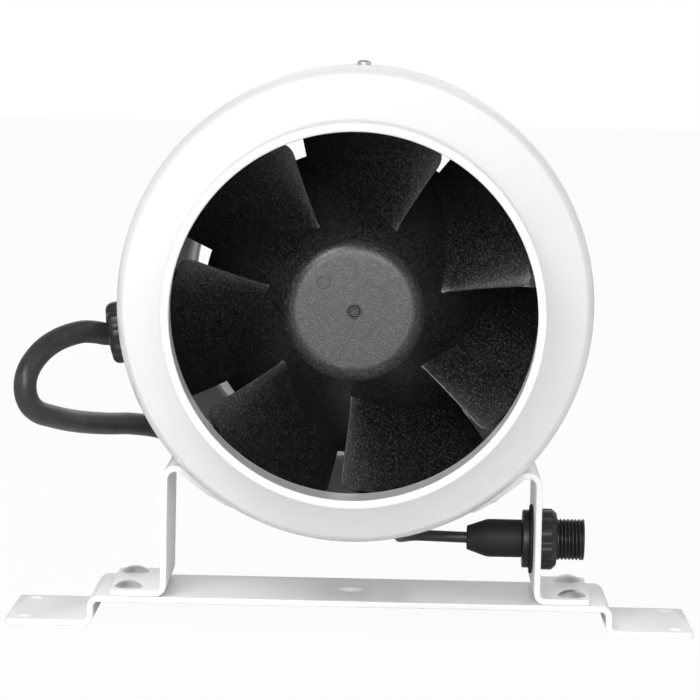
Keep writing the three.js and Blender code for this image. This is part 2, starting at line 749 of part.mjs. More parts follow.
// A mushroom-headed rivet along +Z: the head's underside is at Z = 0, the tail ends below the grip.
function rivet(shankR, grip, headR, headHeight, tailR, tailHeight) {
  return revolveZ(
    [
      [0, -grip - tailHeight],
      [tailR * 0.8, -grip - tailHeight],
      [tailR, -grip],
      [shankR, -grip],
      [shankR, 0],
      [headR, 0],
      [headR, headHeight * 0.2],
      [headR * 0.7, headHeight],
      [0, headHeight],
    ],
    SCREW_SIDES,
  );
}

const TAB_GRIP = SHEET + WALL + 4 * GAP;
piece(fan, "base_plate", WHITE_PAINT, basePlate());
piece(fan, "left_leg", WHITE_PAINT, fromSolid(toSolid(legSheet().rotateZ(Math.PI))));
piece(
  fan,
  "right_leg",
  WHITE_PAINT,
  cut(legSheet(), rodX(SOCKET_THREAD_R + GAP, 70, 82, SMALL_SIDES).translate(0, 0, SOCKET_Z)),
);
for (const [sideName, side] of [["left", -1], ["right", 1]]) {
  for (const [endName, end] of [["front", -1], ["rear", 1]]) {
    const legRivet = rivet(RIVET_SHANK_R, 2 * (SHEET + SEAT) + SEAT, 5.9, 2.7, 4.6, 1.6);
    legRivet.translate(side * RIVET_X, end * RIVET_Y, STRIP_TOP + SHEET + 2 * SEAT);
    piece(fan, `leg_rivet_${sideName}_${endName}`, STEEL, legRivet);
    const tabRivet = rivet(TAB_HOLE_R - GAP, TAB_GRIP, 4.2, 1.1, 3.2, 0.8);
    tabRivet.translate(0, 0, BODY_R + SHEET + 2 * GAP);
    const clock = side > 0 ? 90 + TAB_RIVET : 270 - TAB_RIVET;
    piece(aroundAxis, `tab_rivet_${sideName}_${endName}`, STEEL, atClock(tabRivet, clock, end * TAB_RIVET_Y));
  }
}

// ---- Mains cord ------------------------------------------------------------------------------
const BUSHING_R = 13.3;
const BUSHING_LOBES = 10;
const BUSHING_HEIGHT = 8;
const PLUG_Y = 88;
const PLUG_Z = 43;
const PLUG_START_X = -36;
const PLUG_LENGTH = 44;
const PIN_REACH = 17;
const PIN_SINK = 8; // how far a pin goes into the plug
const PIN_CLEARANCE = 0.2;

// Strain relief: a lobed dome outside the shell and a neck through it, bored for the cord.
function cordBushing() {
  const lobes = new THREE.Shape();
  const points = Array.from({ length: BUSHING_LOBES * 4 }, (_, i) => {
    const a = (i / (BUSHING_LOBES * 4)) * 2 * Math.PI;
    const r = BUSHING_R - 0.7 + 0.7 * Math.cos(BUSHING_LOBES * a);
    return new THREE.Vector2(r * Math.cos(a), r * Math.sin(a));
  });
  lobes.setFromPoints(points);
  const grip = new THREE.ExtrudeGeometry(lobes, { depth: BUSHING_HEIGHT - 3, bevelEnabled: false });
  const dome = revolveZ(
    [
      [0, 0],
      [BUSHING_R - 1.6, 0],
      [BUSHING_R - 1.6, BUSHING_HEIGHT - 3],
      [BUSHING_R - 2.8, BUSHING_HEIGHT - 0.9],
      [BUSHING_R - 5.5, BUSHING_HEIGHT],
      [0, BUSHING_HEIGHT],
    ],
    SMALL_SIDES,
  );
  const neck = rodZ(GLAND_R, -WALL - 1.2, 0.5, SMALL_SIDES);
  const bore = rodZ(CORD_R + GAP, -10, 20, SCREW_SIDES);
  return cut(join(grip, dome, neck), bore).translate(0, 0, BODY_R + GAP);
}

// A point on the bushing's own axis, at a radius from the fan's axis.
function bushingPoint(radius) {
  const point = onClock(BUSHING_CLOCK, radius, BUSHING_Y);
  return [point.x, point.y, point.z + AXIS_Z];
}

const CORD_PATH = [
  ...[BODY_R - 2, BODY_R + 3, BODY_R + 9].map(bushingPoint),
  [-111.4, 14, 116.4],
  [-118, 9, 115.4],
  [-124.3, 3.5, 112.8],
  [-129.5, -2.5, 108.7],
  [-133.6, -8, 102.5],
  [-135, -10.5, 96.4],
  [-134.3, -9, 90],
  [-131.4, -2, 84.6],
  [-125.2, 12, 80.6],
  [-116.4, 34, 76.5],
  [-106.1, 54, 73.8],
  [-95.2, 70, 72.2],
  [-82, 82, 68.5],
  [-70, 87, 60],
  [-57, PLUG_Y, 49],
  [-46, PLUG_Y, PLUG_Z + 0.8],
  [PLUG_START_X + 10, PLUG_Y, PLUG_Z],
];

// Moulded plug: a ribbed strain relief that swells into the grip, with a flat pin face at its end.
function plugBody() {
  const end = PLUG_START_X + PLUG_LENGTH;
  const body = revolveX(
    [
      [0, PLUG_START_X],
      [6.6, PLUG_START_X],
      [7.4, PLUG_START_X + 12],
      [10.5, PLUG_START_X + 18],
      [13.2, PLUG_START_X + 28],
      [13.2, end - 2],
      [12.2, end],
      [0, end],
    ],
    SMALL_SIDES,
  );
  const cordHole = rodX(CORD_R + 2 * GAP, PLUG_START_X - 2, PLUG_START_X + 10 + GAP, SCREW_SIDES);
  const pinHoles = [0, 1, 2].map((i) => plugPin(i, PIN_CLEARANCE));
  return cut(body, cordHole, ...pinHoles).translate(0, PLUG_Y, PLUG_Z);
}

// Two flat blades above a round earth pin; grow makes the matching pocket in the plug.
function plugPin(index, grow) {
  const end = PLUG_START_X + PLUG_LENGTH;
  const root = end - PIN_SINK - grow;
  if (index === 2) return rodX(2.4 + grow, root, end + PIN_REACH + 2, SCREW_SIDES).translate(0, 0, -6);
  const length = PIN_SINK + grow + PIN_REACH;
  const pin = new THREE.BoxGeometry(length, 1.6 + 2 * grow, 6.4 + 2 * grow);
  return pin.translate(root + length / 2, index === 0 ? -6.35 : 6.35, 3.6);
}

function innerLead() {
  return atClock(rodZ(LEAD_R, VANE_HUB_R - 9, BODY_R - 3.5, SCREW_SIDES), BUSHING_CLOCK, BUSHING_Y);
}

piece(aroundAxis, "cord_bushing", BLACK_NYLON, atClock(cordBushing(), BUSHING_CLOCK, BUSHING_Y));
piece(fan, "power_cord", CORD_PVC, cordAlong(CORD_PATH, CORD_R, 44, HOLE_SIDES));
piece(aroundAxis, "inner_lead", CORD_PVC, innerLead());
piece(fan, "plug_body", CORD_PVC, plugBody());
["live", "neutral", "earth"].forEach((use, i) => {
  piece(fan, `plug_pin_${use}`, BRASS, fromSolid(toSolid(plugPin(i, 0).translate(0, PLUG_Y, PLUG_Z))));
});

// ---- Control socket and cable ----------------------------------------------------------------
const BOOT_START_X = 47.6;
const BOOT_END_X = 70.2;
const SOCKET_FLANGE_R = 12;
const SOCKET_FLANGE_X = BOOT_END_X + GAP;
const WASHER_X = 73.4;
const CABLE_END_X = 59; // the control cable ends here inside the boot
const SOCKET_END_X = 96.1;
const SOCKET_FLOOR_X = 81;
const THREAD_PITCH = 1.5;
const NUT_R = 12.7;
const NUT_LOBES = 8;

// The socket's barrel, threaded outside, with a flange inside the leg and an open bore for the mating plug.
function socketBody() {
  const threadStart = 85;
  const turns = Math.floor((SOCKET_END_X - 0.5 - threadStart) / THREAD_PITCH);
  const thread = [];
  for (let i = 0; i < turns; i++) {
    const x = threadStart + i * THREAD_PITCH;
    thread.push([SOCKET_THREAD_R - 0.8, x], [SOCKET_THREAD_R, x + THREAD_PITCH / 2]);
  }
  return revolveX(
    [
      [0, SOCKET_FLANGE_X],
      [SOCKET_FLANGE_R, SOCKET_FLANGE_X],
      [SOCKET_FLANGE_R, WASHER_X - SEAT],
      [SOCKET_THREAD_R - 0.8, WASHER_X - SEAT],
      ...thread,
      [SOCKET_THREAD_R - 0.8, SOCKET_END_X],
      [6.3, SOCKET_END_X],
      [6.3, SOCKET_FLOOR_X],
      [0, SOCKET_FLOOR_X],
    ],
    SMALL_SIDES,
  );
}

function socketNut() {
  const points = Array.from({ length: NUT_LOBES * 4 }, (_, i) => {
    const a = (i / (NUT_LOBES * 4)) * 2 * Math.PI;
    const r = NUT_R - 0.5 + 0.5 * Math.cos(NUT_LOBES * a);
    return new THREE.Vector2(r * Math.cos(a), r * Math.sin(a));
  });
  const body = new THREE.ExtrudeGeometry(new THREE.Shape(points), {
    depth: 5.3,
    bevelEnabled: true,
    bevelThickness: 1,
    bevelSize: 1,
    bevelOffset: -1,
    bevelSegments: 1,
  });
  body.translate(0, 0, 1).rotateY(Math.PI / 2).translate(LEG_OUTER_X + SEAT, 0, 0);
  return cut(body, rodX(SOCKET_THREAD_R + GAP, 70, 90, SMALL_SIDES));
}

function cableBoot() {
  const boot = revolveX(
    [
      [0, BOOT_START_X],
      [4.9, BOOT_START_X],
      [6.9, 53.2],
      [7.9, 58],
      [7.8, BOOT_END_X],
      [0, BOOT_END_X],
    ],
    SMALL_SIDES,
  );
  return cut(boot, rodX(CONTROL_R + GAP, 40, CABLE_END_X + GAP, HOLE_SIDES));
}

// Rubber grommet: a groove holds the edge of the shell's hole between two flanges.
function cableGrommet() {
  const half = WALL / 2 + 0.55;
  return revolveZ(
    [
      [CONTROL_R + GAP, -half - 1.4],
      [6, -half - 1.4],
      [6.4, -half],
      [GROMMET_NECK_R, -half],
      [GROMMET_NECK_R, half],
      [6.4, half],
      [5.4, half + 2],
      [CONTROL_R + GAP, half + 2],
    ],
    SCREW_SIDES,
  );
}

// The control cable leaves the boot, runs back under the barrel and turns up into the outlet shoulder.
function controlCable() {
  const grommetPoint = (out) => {
    const probe = new THREE.BufferGeometry().setFromPoints([new THREE.Vector3(0, 0, out)]);
    const p = atGrommet(probe).getAttribute("position");
    return [p.getX(0), p.getY(0), p.getZ(0) + AXIS_Z];
  };
  return cordAlong(
    [
      [CABLE_END_X, 0, SOCKET_Z],
      [BOOT_START_X, 0, SOCKET_Z],
      [37, 1, 35.4],
      [27, 9, 34.5],
      [21, 26, 31.5],
      [20, 46, 29],
      [20.8, 60, 28],
      [21.6, 71, 30.5],
      [22, 73, 36.5],
      grommetPoint(12),
      grommetPoint(6),
      grommetPoint(0),
      grommetPoint(-6),
    ],
    CONTROL_R,
    32,
    6,
  );
}

const socket = new THREE.Group(); // everything on the socket's own axis
socket.position.z = SOCKET_Z;
fan.add(socket);
const WASHER = [
  [SOCKET_THREAD_R + GAP, WASHER_X],
  [14.3, WASHER_X],
  [14.3, LEG_OUTER_X - SHEET - SEAT],
  [SOCKET_THREAD_R + GAP, LEG_OUTER_X - SHEET - SEAT],
];
piece(socket, "socket_body", BLACK_NYLON, socketBody());
piece(socket, "socket_washer", RUBBER, revolveX(WASHER, SMALL_SIDES));
piece(socket, "socket_nut", BLACK_NYLON, socketNut());
piece(socket, "cable_boot", RUBBER, cableBoot());
everyClock(4, 45, (clock, i) => {
  const place = onClock(clock, 3, 0);
  const pin = rodX(0.7, SOCKET_FLOOR_X + SEAT, SOCKET_END_X - 4, HOLE_SIDES);
  piece(socket, `socket_pin_${i + 1}`, BRASS, pin.translate(0, place.x, place.z));
});
piece(aroundAxis, "cable_grommet", RUBBER, atGrommet(cableGrommet()));
piece(fan, "control_cable", CORD_PVC, controlCable());

export default fan;
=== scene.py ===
"""Inline duct fan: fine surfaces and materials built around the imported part.

Shapes are worked out in millimetres in the part's own frame (X across, Y along the air path, Z up)
and scaled when they become meshes. Clock angles are degrees clockwise from the top, as seen from
the inlet.
"""

import json
import math
from collections import defaultdict

import bmesh
import bpy
from mathutils import Matrix, Vector


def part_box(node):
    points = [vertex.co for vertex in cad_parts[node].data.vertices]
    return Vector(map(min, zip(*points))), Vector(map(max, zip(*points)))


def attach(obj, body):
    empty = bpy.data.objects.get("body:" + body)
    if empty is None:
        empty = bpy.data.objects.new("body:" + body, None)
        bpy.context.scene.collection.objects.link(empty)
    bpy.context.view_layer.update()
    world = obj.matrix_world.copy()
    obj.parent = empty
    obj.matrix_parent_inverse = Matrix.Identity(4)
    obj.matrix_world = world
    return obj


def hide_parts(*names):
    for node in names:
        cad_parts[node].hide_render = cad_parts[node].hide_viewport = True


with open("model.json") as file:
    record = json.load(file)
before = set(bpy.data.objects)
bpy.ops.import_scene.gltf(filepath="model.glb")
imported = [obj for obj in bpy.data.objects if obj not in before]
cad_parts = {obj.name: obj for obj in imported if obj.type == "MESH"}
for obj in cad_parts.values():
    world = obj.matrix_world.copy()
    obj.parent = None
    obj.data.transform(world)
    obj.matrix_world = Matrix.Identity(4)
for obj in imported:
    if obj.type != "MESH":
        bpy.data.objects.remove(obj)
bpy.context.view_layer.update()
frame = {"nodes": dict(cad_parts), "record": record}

MM = 0.001
TAU = 2 * math.pi


# ---- Dimensions, from the frame --------------------------------------------------------------
def extent(node, axis):
    low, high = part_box(node)
    return low[axis] / MM, high[axis] / MM


def middle(node):
    low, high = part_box(node)
    return (low + high) / 2 / MM


X, Y, Z = 0, 1, 2
AXIS_Z = sum(extent("inlet_shell", Z)) / 2
BODY_R = extent("inlet_shell", X)[1]
HALF_LENGTH = -extent("inlet_shell", Y)[0]
COLLAR_R = 74.5
COLLAR_LENGTH = 38
COLLAR_INSIDE_R = COLLAR_R - 2
WALL = 1.5
SHOULDER_Y = HALF_LENGTH - COLLAR_LENGTH  # where the collar meets the shoulder's cone
BODY_HALF = 35  # half length of the straight barrel
FLARE_R = 27.1  # soft curve from the barrel to the sharp edge where the cone starts
FLARE_TURN = 28.3  # degrees of that curve
RIM_BEAD = 3.5
LIP_REACH = -extent("outlet_shell", Y)[0]  # the outlet shell's lip inside the inlet shell
LIP_WALL = 1.3
SEAM = 0.15  # half the groove between the shells
GAP = 0.3  # between pieces that meet on a curve
SEAT = 0.1  # between flat faces that rest on each other

NOSE_Y, HUB_REAR_Y = extent("impeller", Y)
BLADE_ROOT_FRONT_Y = -57.4
BLADE_ROOT_REAR_Y = -18.5
NOSE_R = 26.5  # where the hub's cone would meet its flat nose
HUB_SLOPE = 0.591  # radius gained per millimetre along the axis
HUB_WALL = 2.9
TIP_R = 91
TIP_FRONT_Y = -71
TIP_REAR_Y = -23
TIP_GAP = 1.1  # between the blade tips and the collar
BLADES = 7
FIRST_BLADE = 180.8  # clock angle of a leading edge's root
# clock angles of the leading and the trailing edge, from that root
ROOT_SWEEP = (0, -46.6)
TIP_SWEEP = (2.8, -43)

VANES = 7
FIRST_VANE = 58
VANE_TURN = 14  # degrees from the front edge to the rear edge
VANE_LEAN = 11  # degrees from root to tip
VANE_FRONT_Y = -6
VANE_REAR_Y = 37
VANE_HUB_R = 58
VANE_HUB_REAR_Y = 40
RING_FRONT_Y = -10
RING_REAR_Y = 38
RING_R = extent("guide_vanes", X)[1]
RING_WALL = 1.7
WEB_FRONT_Y = extent("motor_flange", Y)[1] + SEAT
CAP_R = extent("rear_cap", X)[1]
CAP_FRONT_Y, CAP_REAR_Y = extent("rear_cap", Y)

SHEET = 2.5  # bracket steel
BEND_R = 3.2  # middle radius of its bends
BASE_HALF = extent("base_plate", X)[1]
STRIP_TOP = extent("base_plate", Z)[1]
BRACKET_HALF_WIDTH = extent("base_plate", Y)[1]
FOOT_START = 105.4
FOOT_HOLE = (133, 25)
FOOT_HOLE_R = 3.25
MIDDLE_HOLE_R = 5.25
RIVET_HOLE_R = 3.2
SOCKET_HOLE_R = 8.8
FLANGE_END_X = extent("right_leg", X)[1]
LEG_OUTER_X = extent("socket_nut", X)[0] - SEAT
FOLD_R = 4.5  # middle radius of the fold at the top of a leg
TAB_END = 60.3  # degrees below horizontal where the saddle tab ends
TAB_END_HALF_WIDTH = 20
RIVET = middle("leg_rivet_right_rear")
# radius and height of a rivet's head, then of its tail
LEG_RIVET_FORM = (5.9, 2.6, 4.3, 0.7)
TAB_RIVET_FORM = (4.2, 1.1, 3.2, 0.8)
# radius and height of a screw's head, radius and length of its shank
CASING_SCREW_FORM = (2.9, 2.1, 1.5, 6)
CAP_SCREW_FORM = (3, 2, 1.5, 16)
CORD_R = 4.75  # power cord
CONTROL_R = 2.3  # control cable


# ---- Small geometry --------------------------------------------------------------------------
def lerp(a, b, t):
    return a + (b - a) * t


def arc(cx, cy, radius, start, end, steps):
    """Points of an arc about (cx, cy), from one angle to another in degrees."""
    angles = [math.radians(lerp(start, end, i / steps)) for i in range(steps + 1)]
    return [(cx + radius * math.cos(a), cy + radius * math.sin(a)) for a in angles]


def rounded(points, radii, steps=6):
    """An outline with the corner at each point rounded by its radius; 0 leaves it sharp."""
    out = []
    for i, (point, radius) in enumerate(zip(points, radii)):
        here = Vector(point)
        before, after = Vector(points[i - 1]) - here, Vector(points[(i + 1) % len(points)]) - here
        if radius <= 0:
            out.append(tuple(here))
            continue
        half = before.angle(after) / 2
        reach = min(radius / math.tan(half), before.length * 0.49, after.length * 0.49)
        start, end = here + before.normalized() * reach, here + after.normalized() * reach
        for k in range(steps + 1):
            t = k / steps
            out.append(tuple(start * (1 - t) ** 2 + here * 2 * t * (1 - t) + end * t * t))
    return out


def on_clock(clock, radius, y):
    a = math.radians(clock)
    return Vector((radius * math.sin(a), y, radius * math.cos(a)))


# A shape is (vertices, faces), with vertices in millimetres.
def lathe(profile, segments=128, radius_at=None):
    """A turned shape about Y from (radius, y) points. It ends on the axis, or closes on itself."""
    points, faces, rings = [], [], []
    for r, y in profile:
        first = len(points)
        if r < 1e-6:
            points.append(Vector((0, y, 0)))
            rings.append([first] * segments)
            continue
        for k in range(segments):
            a = TAU * k / segments
            here = radius_at(r, y, a) if radius_at else r
            points.append(Vector((here * math.sin(a), y, here * math.cos(a))))
        rings.append(list(range(first, first + segments)))
    joined = list(zip(rings, rings[1:]))
    if profile[0][0] > 1e-6:
        joined.append((rings[-1], rings[0]))
    for a, b in joined:
        for k in range(segments):
            n = (k + 1) % segments
            corners = list(dict.fromkeys((a[k], a[n], b[n], b[k])))
            if len(corners) > 2:
                faces.append(corners)
    return points, faces


def loft(rings):
    """A closed shape through rings of as many points each, capped at both ends."""
    count = len(rings[0])
    points = [Vector(p) for ring in rings for p in ring]
    faces = [list(range(count))[::-1], list(range(len(points) - count, len(points)))]
    for r in range(len(rings) - 1):
        for k in range(count):
            n = (k + 1) % count
            a, b = r * count, (r + 1) * count
            faces.append((a + k, a + n, b + n, b + k))
    return points, faces


def thin_blade(surface, thickness, across, along, nose_steps=4):
    """A closed blade around surface(u, v), as thick as thickness(u, v), with round edges."""
    step = 1e-3
    rings = []
    for j in range(along + 1):
        v = j / along
        front, back = [], []
        for i in range(across + 1):
            u = 0.5 - 0.5 * math.cos(math.pi * i / across)
            du = surface(min(u + step, 1), v) - surface(max(u - step, 0), v)
            dv = surface(u, min(v + step, 1)) - surface(u, max(v - step, 0))
            normal = du.cross(dv).normalized()
            half = normal * (thickness(u, v) / 2)
            front.append(surface(u, v) + half)
            back.append(surface(u, v) - half)
        noses = []
        for u, (a, b) in ((0, (back[0], front[0])), (1, (front[-1], back[-1]))):
            centre, half = (a + b) / 2, (b - a) / 2
            outwards = (surface(u, v) - surface(abs(u - step), v)).normalized()
            outwards *= (b - a).length / 2
            turns = [math.pi * k / nose_steps for k in range(1, nose_steps)]
            noses.append([centre - half * math.cos(t) + outwards * math.sin(t) for t in turns])
        rings.append(noses[0] + front + noses[1] + back[::-1])
    return loft(rings)


def moved(shape, matrix):
    points, faces = shape
    return [matrix @ p for p in points], faces


def together(*shapes):
    points, faces = [], []
    for more_points, more_faces in shapes:
        base = len(points)
        points += more_points
        faces += [[base + i for i in face] for face in more_faces]
    return points, faces


TO_AXIS = Matrix.Translation((0, 0, AXIS_Z))
Y_TO_Z = Matrix.Rotation(math.pi / 2, 4, "X")
Y_TO_X = Matrix.Rotation(-math.pi / 2, 4, "Z")


def turned(clock):
    """Turns about the Y axis so that what stands along +Z stands at the clock angle."""
    return Matrix.Rotation(math.radians(clock), 4, "Y")


def clock_of(node):
    place = middle(node)
    return math.degrees(math.atan2(place.x, place.z - AXIS_Z))


# ---- Meshes ----------------------------------------------------------------------------------
def mesh_object(name, shape):
    points, faces = shape
    mesh = bpy.data.meshes.new(name)
    mesh.from_pydata([tuple(p * MM) for p in points], [], [tuple(f) for f in faces])
    work = bmesh.new()
    work.from_mesh(mesh)
    bmesh.ops.remove_doubles(work, verts=work.verts, dist=1e-7)
    bmesh.ops.recalc_face_normals(work, faces=work.faces)
    work.to_mesh(mesh)
    work.free()
    obj = bpy.data.objects.new(name, mesh)
    bpy.context.scene.collection.objects.link(obj)
    return obj


def boolean(obj, operation, *shapes):
    """Joins to or cuts from obj each closed shape."""
    for shape in shapes:
        other = mesh_object("tool", shape)
        modifier = obj.modifiers.new("boolean", "BOOLEAN")
        modifier.operation = operation
        modifier.solver = "EXACT"
        modifier.object = other
        graph = bpy.context.evaluated_depsgraph_get()
        mesh = bpy.data.meshes.new_from_object(obj.evaluated_get(graph))
        obj.modifiers.clear()
        obj.data = mesh
        bpy.data.objects.remove(other)
    return obj


def put(obj, body, material, nodes, sharp=35):
    """Shades the piece, gives it its material and lets it stand for its CAD nodes."""
    obj.data.materials.clear()
    obj.data.materials.append(material)
    obj.data.polygons.foreach_set("use_smooth", [True] * len(obj.data.polygons))
    obj.data.set_sharp_from_angle(angle=math.radians(sharp))
    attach(obj, body)
    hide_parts(*nodes)
    return obj


def piece(name, shape, body, slot, material, *nodes, sharp=35):
    return put(mesh_object(name, shape), body, material, nodes, sharp)


# ---- Materials -------------------------------------------------------------------------------
class Nodes:
    """A short way to build a material's node tree."""

    def __init__(self, name):
        self.material = bpy.data.materials.new(name)
        self.material.use_nodes = True
        self.tree = self.material.node_tree
        self.shader = self.tree.nodes["Principled BSDF"]
        self.place = self.add("ShaderNodeTexCoord").outputs["Object"]

    def add(self, kind, **values):
        node = self.tree.nodes.new(kind)
        for key, value in values.items():
            setattr(node, key, value)
        return node

    def link(self, source, target):
        self.tree.links.new(source, target)

    def stretched(self, scale):
        mapping = self.add("ShaderNodeMapping")
        mapping.inputs["Scale"].default_value = scale
        self.link(self.place, mapping.inputs["Vector"])
        return mapping.outputs["Vector"]

    def noise(self, size_mm, detail=2.0, vector=None):
        """Noise whose cells are about size_mm across."""
        node = self.add("ShaderNodeTexNoise")
        node.inputs["Scale"].default_value = 1 / (size_mm * MM)
        node.inputs["Detail"].default_value = detail
        self.link(vector or self.place, node.inputs["Vector"])
        return node.outputs["Fac"]

    def ranged(self, value, low, high, from_low=0.3, from_high=0.7):
        node = self.add("ShaderNodeMapRange")
        node.inputs["From Min"].default_value = from_low
        node.inputs["From Max"].default_value = from_high
        node.inputs["To Min"].default_value = low
        node.inputs["To Max"].default_value = high
        self.link(value, node.inputs["Value"])
        return node.outputs["Result"]

    def within(self, radius_mm):
        """1 nearer to the fan's axis than the radius, 0 further out."""
        from_axis = self.add("ShaderNodeVectorMath", operation="SUBTRACT")
        from_axis.inputs[1].default_value = (0, 0, AXIS_Z * MM)
        flat = self.add("ShaderNodeVectorMath", operation="MULTIPLY")
        flat.inputs[1].default_value = (1, 0, 1)
        length = self.add("ShaderNodeVectorMath", operation="LENGTH")
        nearer = self.add("ShaderNodeMath", operation="LESS_THAN")
        nearer.inputs[1].default_value = radius_mm * MM
        self.link(self.place, from_axis.inputs[0])
        self.link(from_axis.outputs["Vector"], flat.inputs[0])
        self.link(flat.outputs["Vector"], length.inputs[0])
        self.link(length.outputs["Value"], nearer.inputs[0])
        return nearer.outputs["Value"]

    def mixed(self, factor, first, second):
        """Goes from the first colour to the second; the first may be another node's output."""
        node = self.add("ShaderNodeMix", data_type="RGBA")
        if isinstance(first, tuple):
            node.inputs["A"].default_value = (*first, 1)
        else:
            self.link(first, node.inputs["A"])
        node.inputs["B"].default_value = (*second, 1)
        self.link(factor, node.inputs["Factor"])
        return node.outputs["Result"]

    def bump(self, height, strength, depth_mm, below=None):
        node = self.add("ShaderNodeBump")
        node.inputs["Strength"].default_value = strength
        node.inputs["Distance"].default_value = depth_mm * MM
        self.link(height, node.inputs["Height"])
        if below:
            self.link(below, node.inputs["Normal"])
        return node.outputs["Normal"]

    def done(self, colour, roughness, normal=None, **values):
        self.link(colour, self.shader.inputs["Base Color"])
        self.link(roughness, self.shader.inputs["Roughness"])
        if normal:
            self.link(normal, self.shader.inputs["Normal"])
        for key, value in values.items():
            self.shader.inputs[key.replace("_", " ")].default_value = value
        return self.material


# painted light: the whiter colour given to the inside of the collars, where the recess lies in
# shade
COLLAR_INSIDE_PAINTED_LIGHT = (0.96, 0.96, 0.965)
COLLAR_SPECULAR = 0.08


def powder_coat(name, dark, light, coat, specular):
    """Gloss powder coat with a faint orange peel. Inside the collars the colour is painted whiter,
    painted light that lifts the shade in the recess, and the coat is dull.
    """
    n = Nodes(name)
    peel = n.bump(n.noise(2.2, 1.5), 0.35, 0.012)
    tone = n.mixed(n.ranged(n.noise(60), 0, 1), dark, light)
    gloss = n.ranged(n.noise(30, 2), 0.29, 0.33)
    inside = n.within(COLLAR_INSIDE_R + 0.5)
    # painted light: inside the collars the colour turns whiter, lifting the recess's shade
    tone = n.mixed(inside, tone, COLLAR_INSIDE_PAINTED_LIGHT)
    n.link(n.ranged(inside, coat, 0.0, 0, 1), n.shader.inputs["Coat Weight"])
    shine = n.ranged(inside, specular, COLLAR_SPECULAR, 0, 1)
    n.link(shine, n.shader.inputs["Specular IOR Level"])
    return n.done(tone, gloss, peel, Coat_Roughness=0.08)


def textured_plastic():
    """Spark-textured moulded plastic: a fine grain, with lighter specks painted into its colour as
    painted glints.
    """
    n = Nodes("textured_black_plastic")
    grain = n.noise(0.8, 1.5)
    coarse = n.noise(1.6, 2)
    # painted glints: the grain's lighter specks are put into the colour
    painted_glints = n.ranged(grain, 0, 1, 0.48, 0.7)
    tone = n.mixed(painted_glints, (0.002, 0.002, 0.0022), (0.05, 0.051, 0.055))
    rough = n.ranged(coarse, 0.31, 0.41)
    normal = n.bump(coarse, 0.3, 0.05, n.bump(grain, 0.6, 0.07))
    return n.done(tone, rough, normal, Specular_IOR_Level=0.7)


def moulded(name, dark, light, rough, grain_mm, depth_mm):
    """Plain moulded plastic or rubber with a satin grain."""
    n = Nodes(name)
    fine = n.noise(grain_mm, 3)
    tone = n.mixed(n.ranged(n.noise(6, 3), 0, 1), dark, light)
    gloss = n.ranged(fine, rough - 0.07, rough + 0.08)
    return n.done(tone, gloss, n.bump(fine, 0.4, depth_mm), Specular_IOR_Level=0.5)


def metal(name, dark, light, rough, stretch):
    """Metal with fine streaks along one direction and cloudy variation."""
    n = Nodes(name)
    streaks = n.noise(0.8, 4, n.stretched(stretch))
    tone = n.mixed(n.ranged(n.noise(3, 4), 0, 1), dark, light)
    gloss = n.ranged(streaks, rough - 0.08, rough + 0.12)
    return n.done(tone, gloss, n.bump(streaks, 0.25, 0.01), Metallic=1.0)


def wound_copper():
    """Enamelled wire: narrow bands wound around the teeth."""
    n = Nodes("copper_winding")
    waves = n.add("ShaderNodeTexWave", wave_type="RINGS", rings_direction="Y")
    waves.inputs["Scale"].default_value = 600
    waves.inputs["Distortion"].default_value = 1.5
    n.link(n.place, waves.inputs["Vector"])
    tone = n.mixed(waves.outputs["Fac"], (0.35, 0.14, 0.05), (0.78, 0.38, 0.17))
    rough = n.ranged(n.noise(1), 0.3, 0.45)
    return n.done(tone, rough, n.bump(waves.outputs["Fac"], 0.8, 0.15), Metallic=1.0)


def circuit_board():
    """Solder mask with darker tracks under it."""
    n = Nodes("solder_mask")
    cells = n.add("ShaderNodeTexVoronoi", feature="DISTANCE_TO_EDGE")
    cells.inputs["Scale"].default_value = 260
    n.link(n.place, cells.inputs["Vector"])
    tracks = n.ranged(cells.outputs["Distance"], 0, 1, 0.05, 0.08)
    tone = n.mixed(tracks, (0.02, 0.10, 0.045), (0.035, 0.18, 0.08))
    return n.done(tone, n.ranged(n.noise(2), 0.3, 0.4), n.bump(tracks, 0.3, 0.05))


def grey(level):
    return (level, level, level)


SLOTS = {
    "white_paint": powder_coat(
        "white_powder_coat", (0.88, 0.88, 0.87), (0.905, 0.905, 0.90), coat=0.3, specular=0.5
    ),
    "black_plastic": textured_plastic(),
    "black_nylon": moulded(
        "satin_nylon", grey(0.007), (0.016, 0.015, 0.014), rough=0.36, grain_mm=0.9, depth_mm=0.02
    ),
    "cord_pvc": moulded(
        "cord_sheath", grey(0.020), (0.034, 0.034, 0.033), rough=0.36, grain_mm=1.4, depth_mm=0.02
    ),
    "black_rubber": moulded(
        "matte_rubber", grey(0.004), grey(0.009), rough=0.6, grain_mm=0.5, depth_mm=0.03
    ),
    "zinc_steel": metal(
        "zinc_plate", (0.68, 0.68, 0.67), (0.78, 0.775, 0.76), rough=0.4, stretch=(1, 1, 6)
    ),
    "dark_steel": metal(
        "oiled_steel", (0.16, 0.16, 0.17), (0.28, 0.28, 0.29), rough=0.45, stretch=(1, 12, 1)
    ),
    "copper_wire": wound_copper(),
    "ferrite": moulded(
        "bonded_ferrite",
        (0.035, 0.035, 0.038),
        (0.06, 0.06, 0.065),
        rough=0.7,
        grain_mm=0.4,
        depth_mm=0.05,
    ),
    "brass": metal(
        "plain_brass", (0.62, 0.44, 0.16), (0.78, 0.58, 0.24), rough=0.37, stretch=(8, 1, 1)
    ),
    "board_green": circuit_board(),
}
# painted light: a lighter copy of the white powder coat, lifting the shade the barrel casts over
# the bracket
BRACKET_PAINT_LIGHTENED = powder_coat(
    "bracket_powder_coat", (0.92, 0.925, 0.935), (0.94, 0.945, 0.955), coat=0.05, specular=0.25
)


# ---- Housing shells --------------------------------------------------------------------------
def flare(radius):
    return arc(BODY_R - FLARE_R, BODY_HALF, radius, 0, FLARE_TURN, 10)


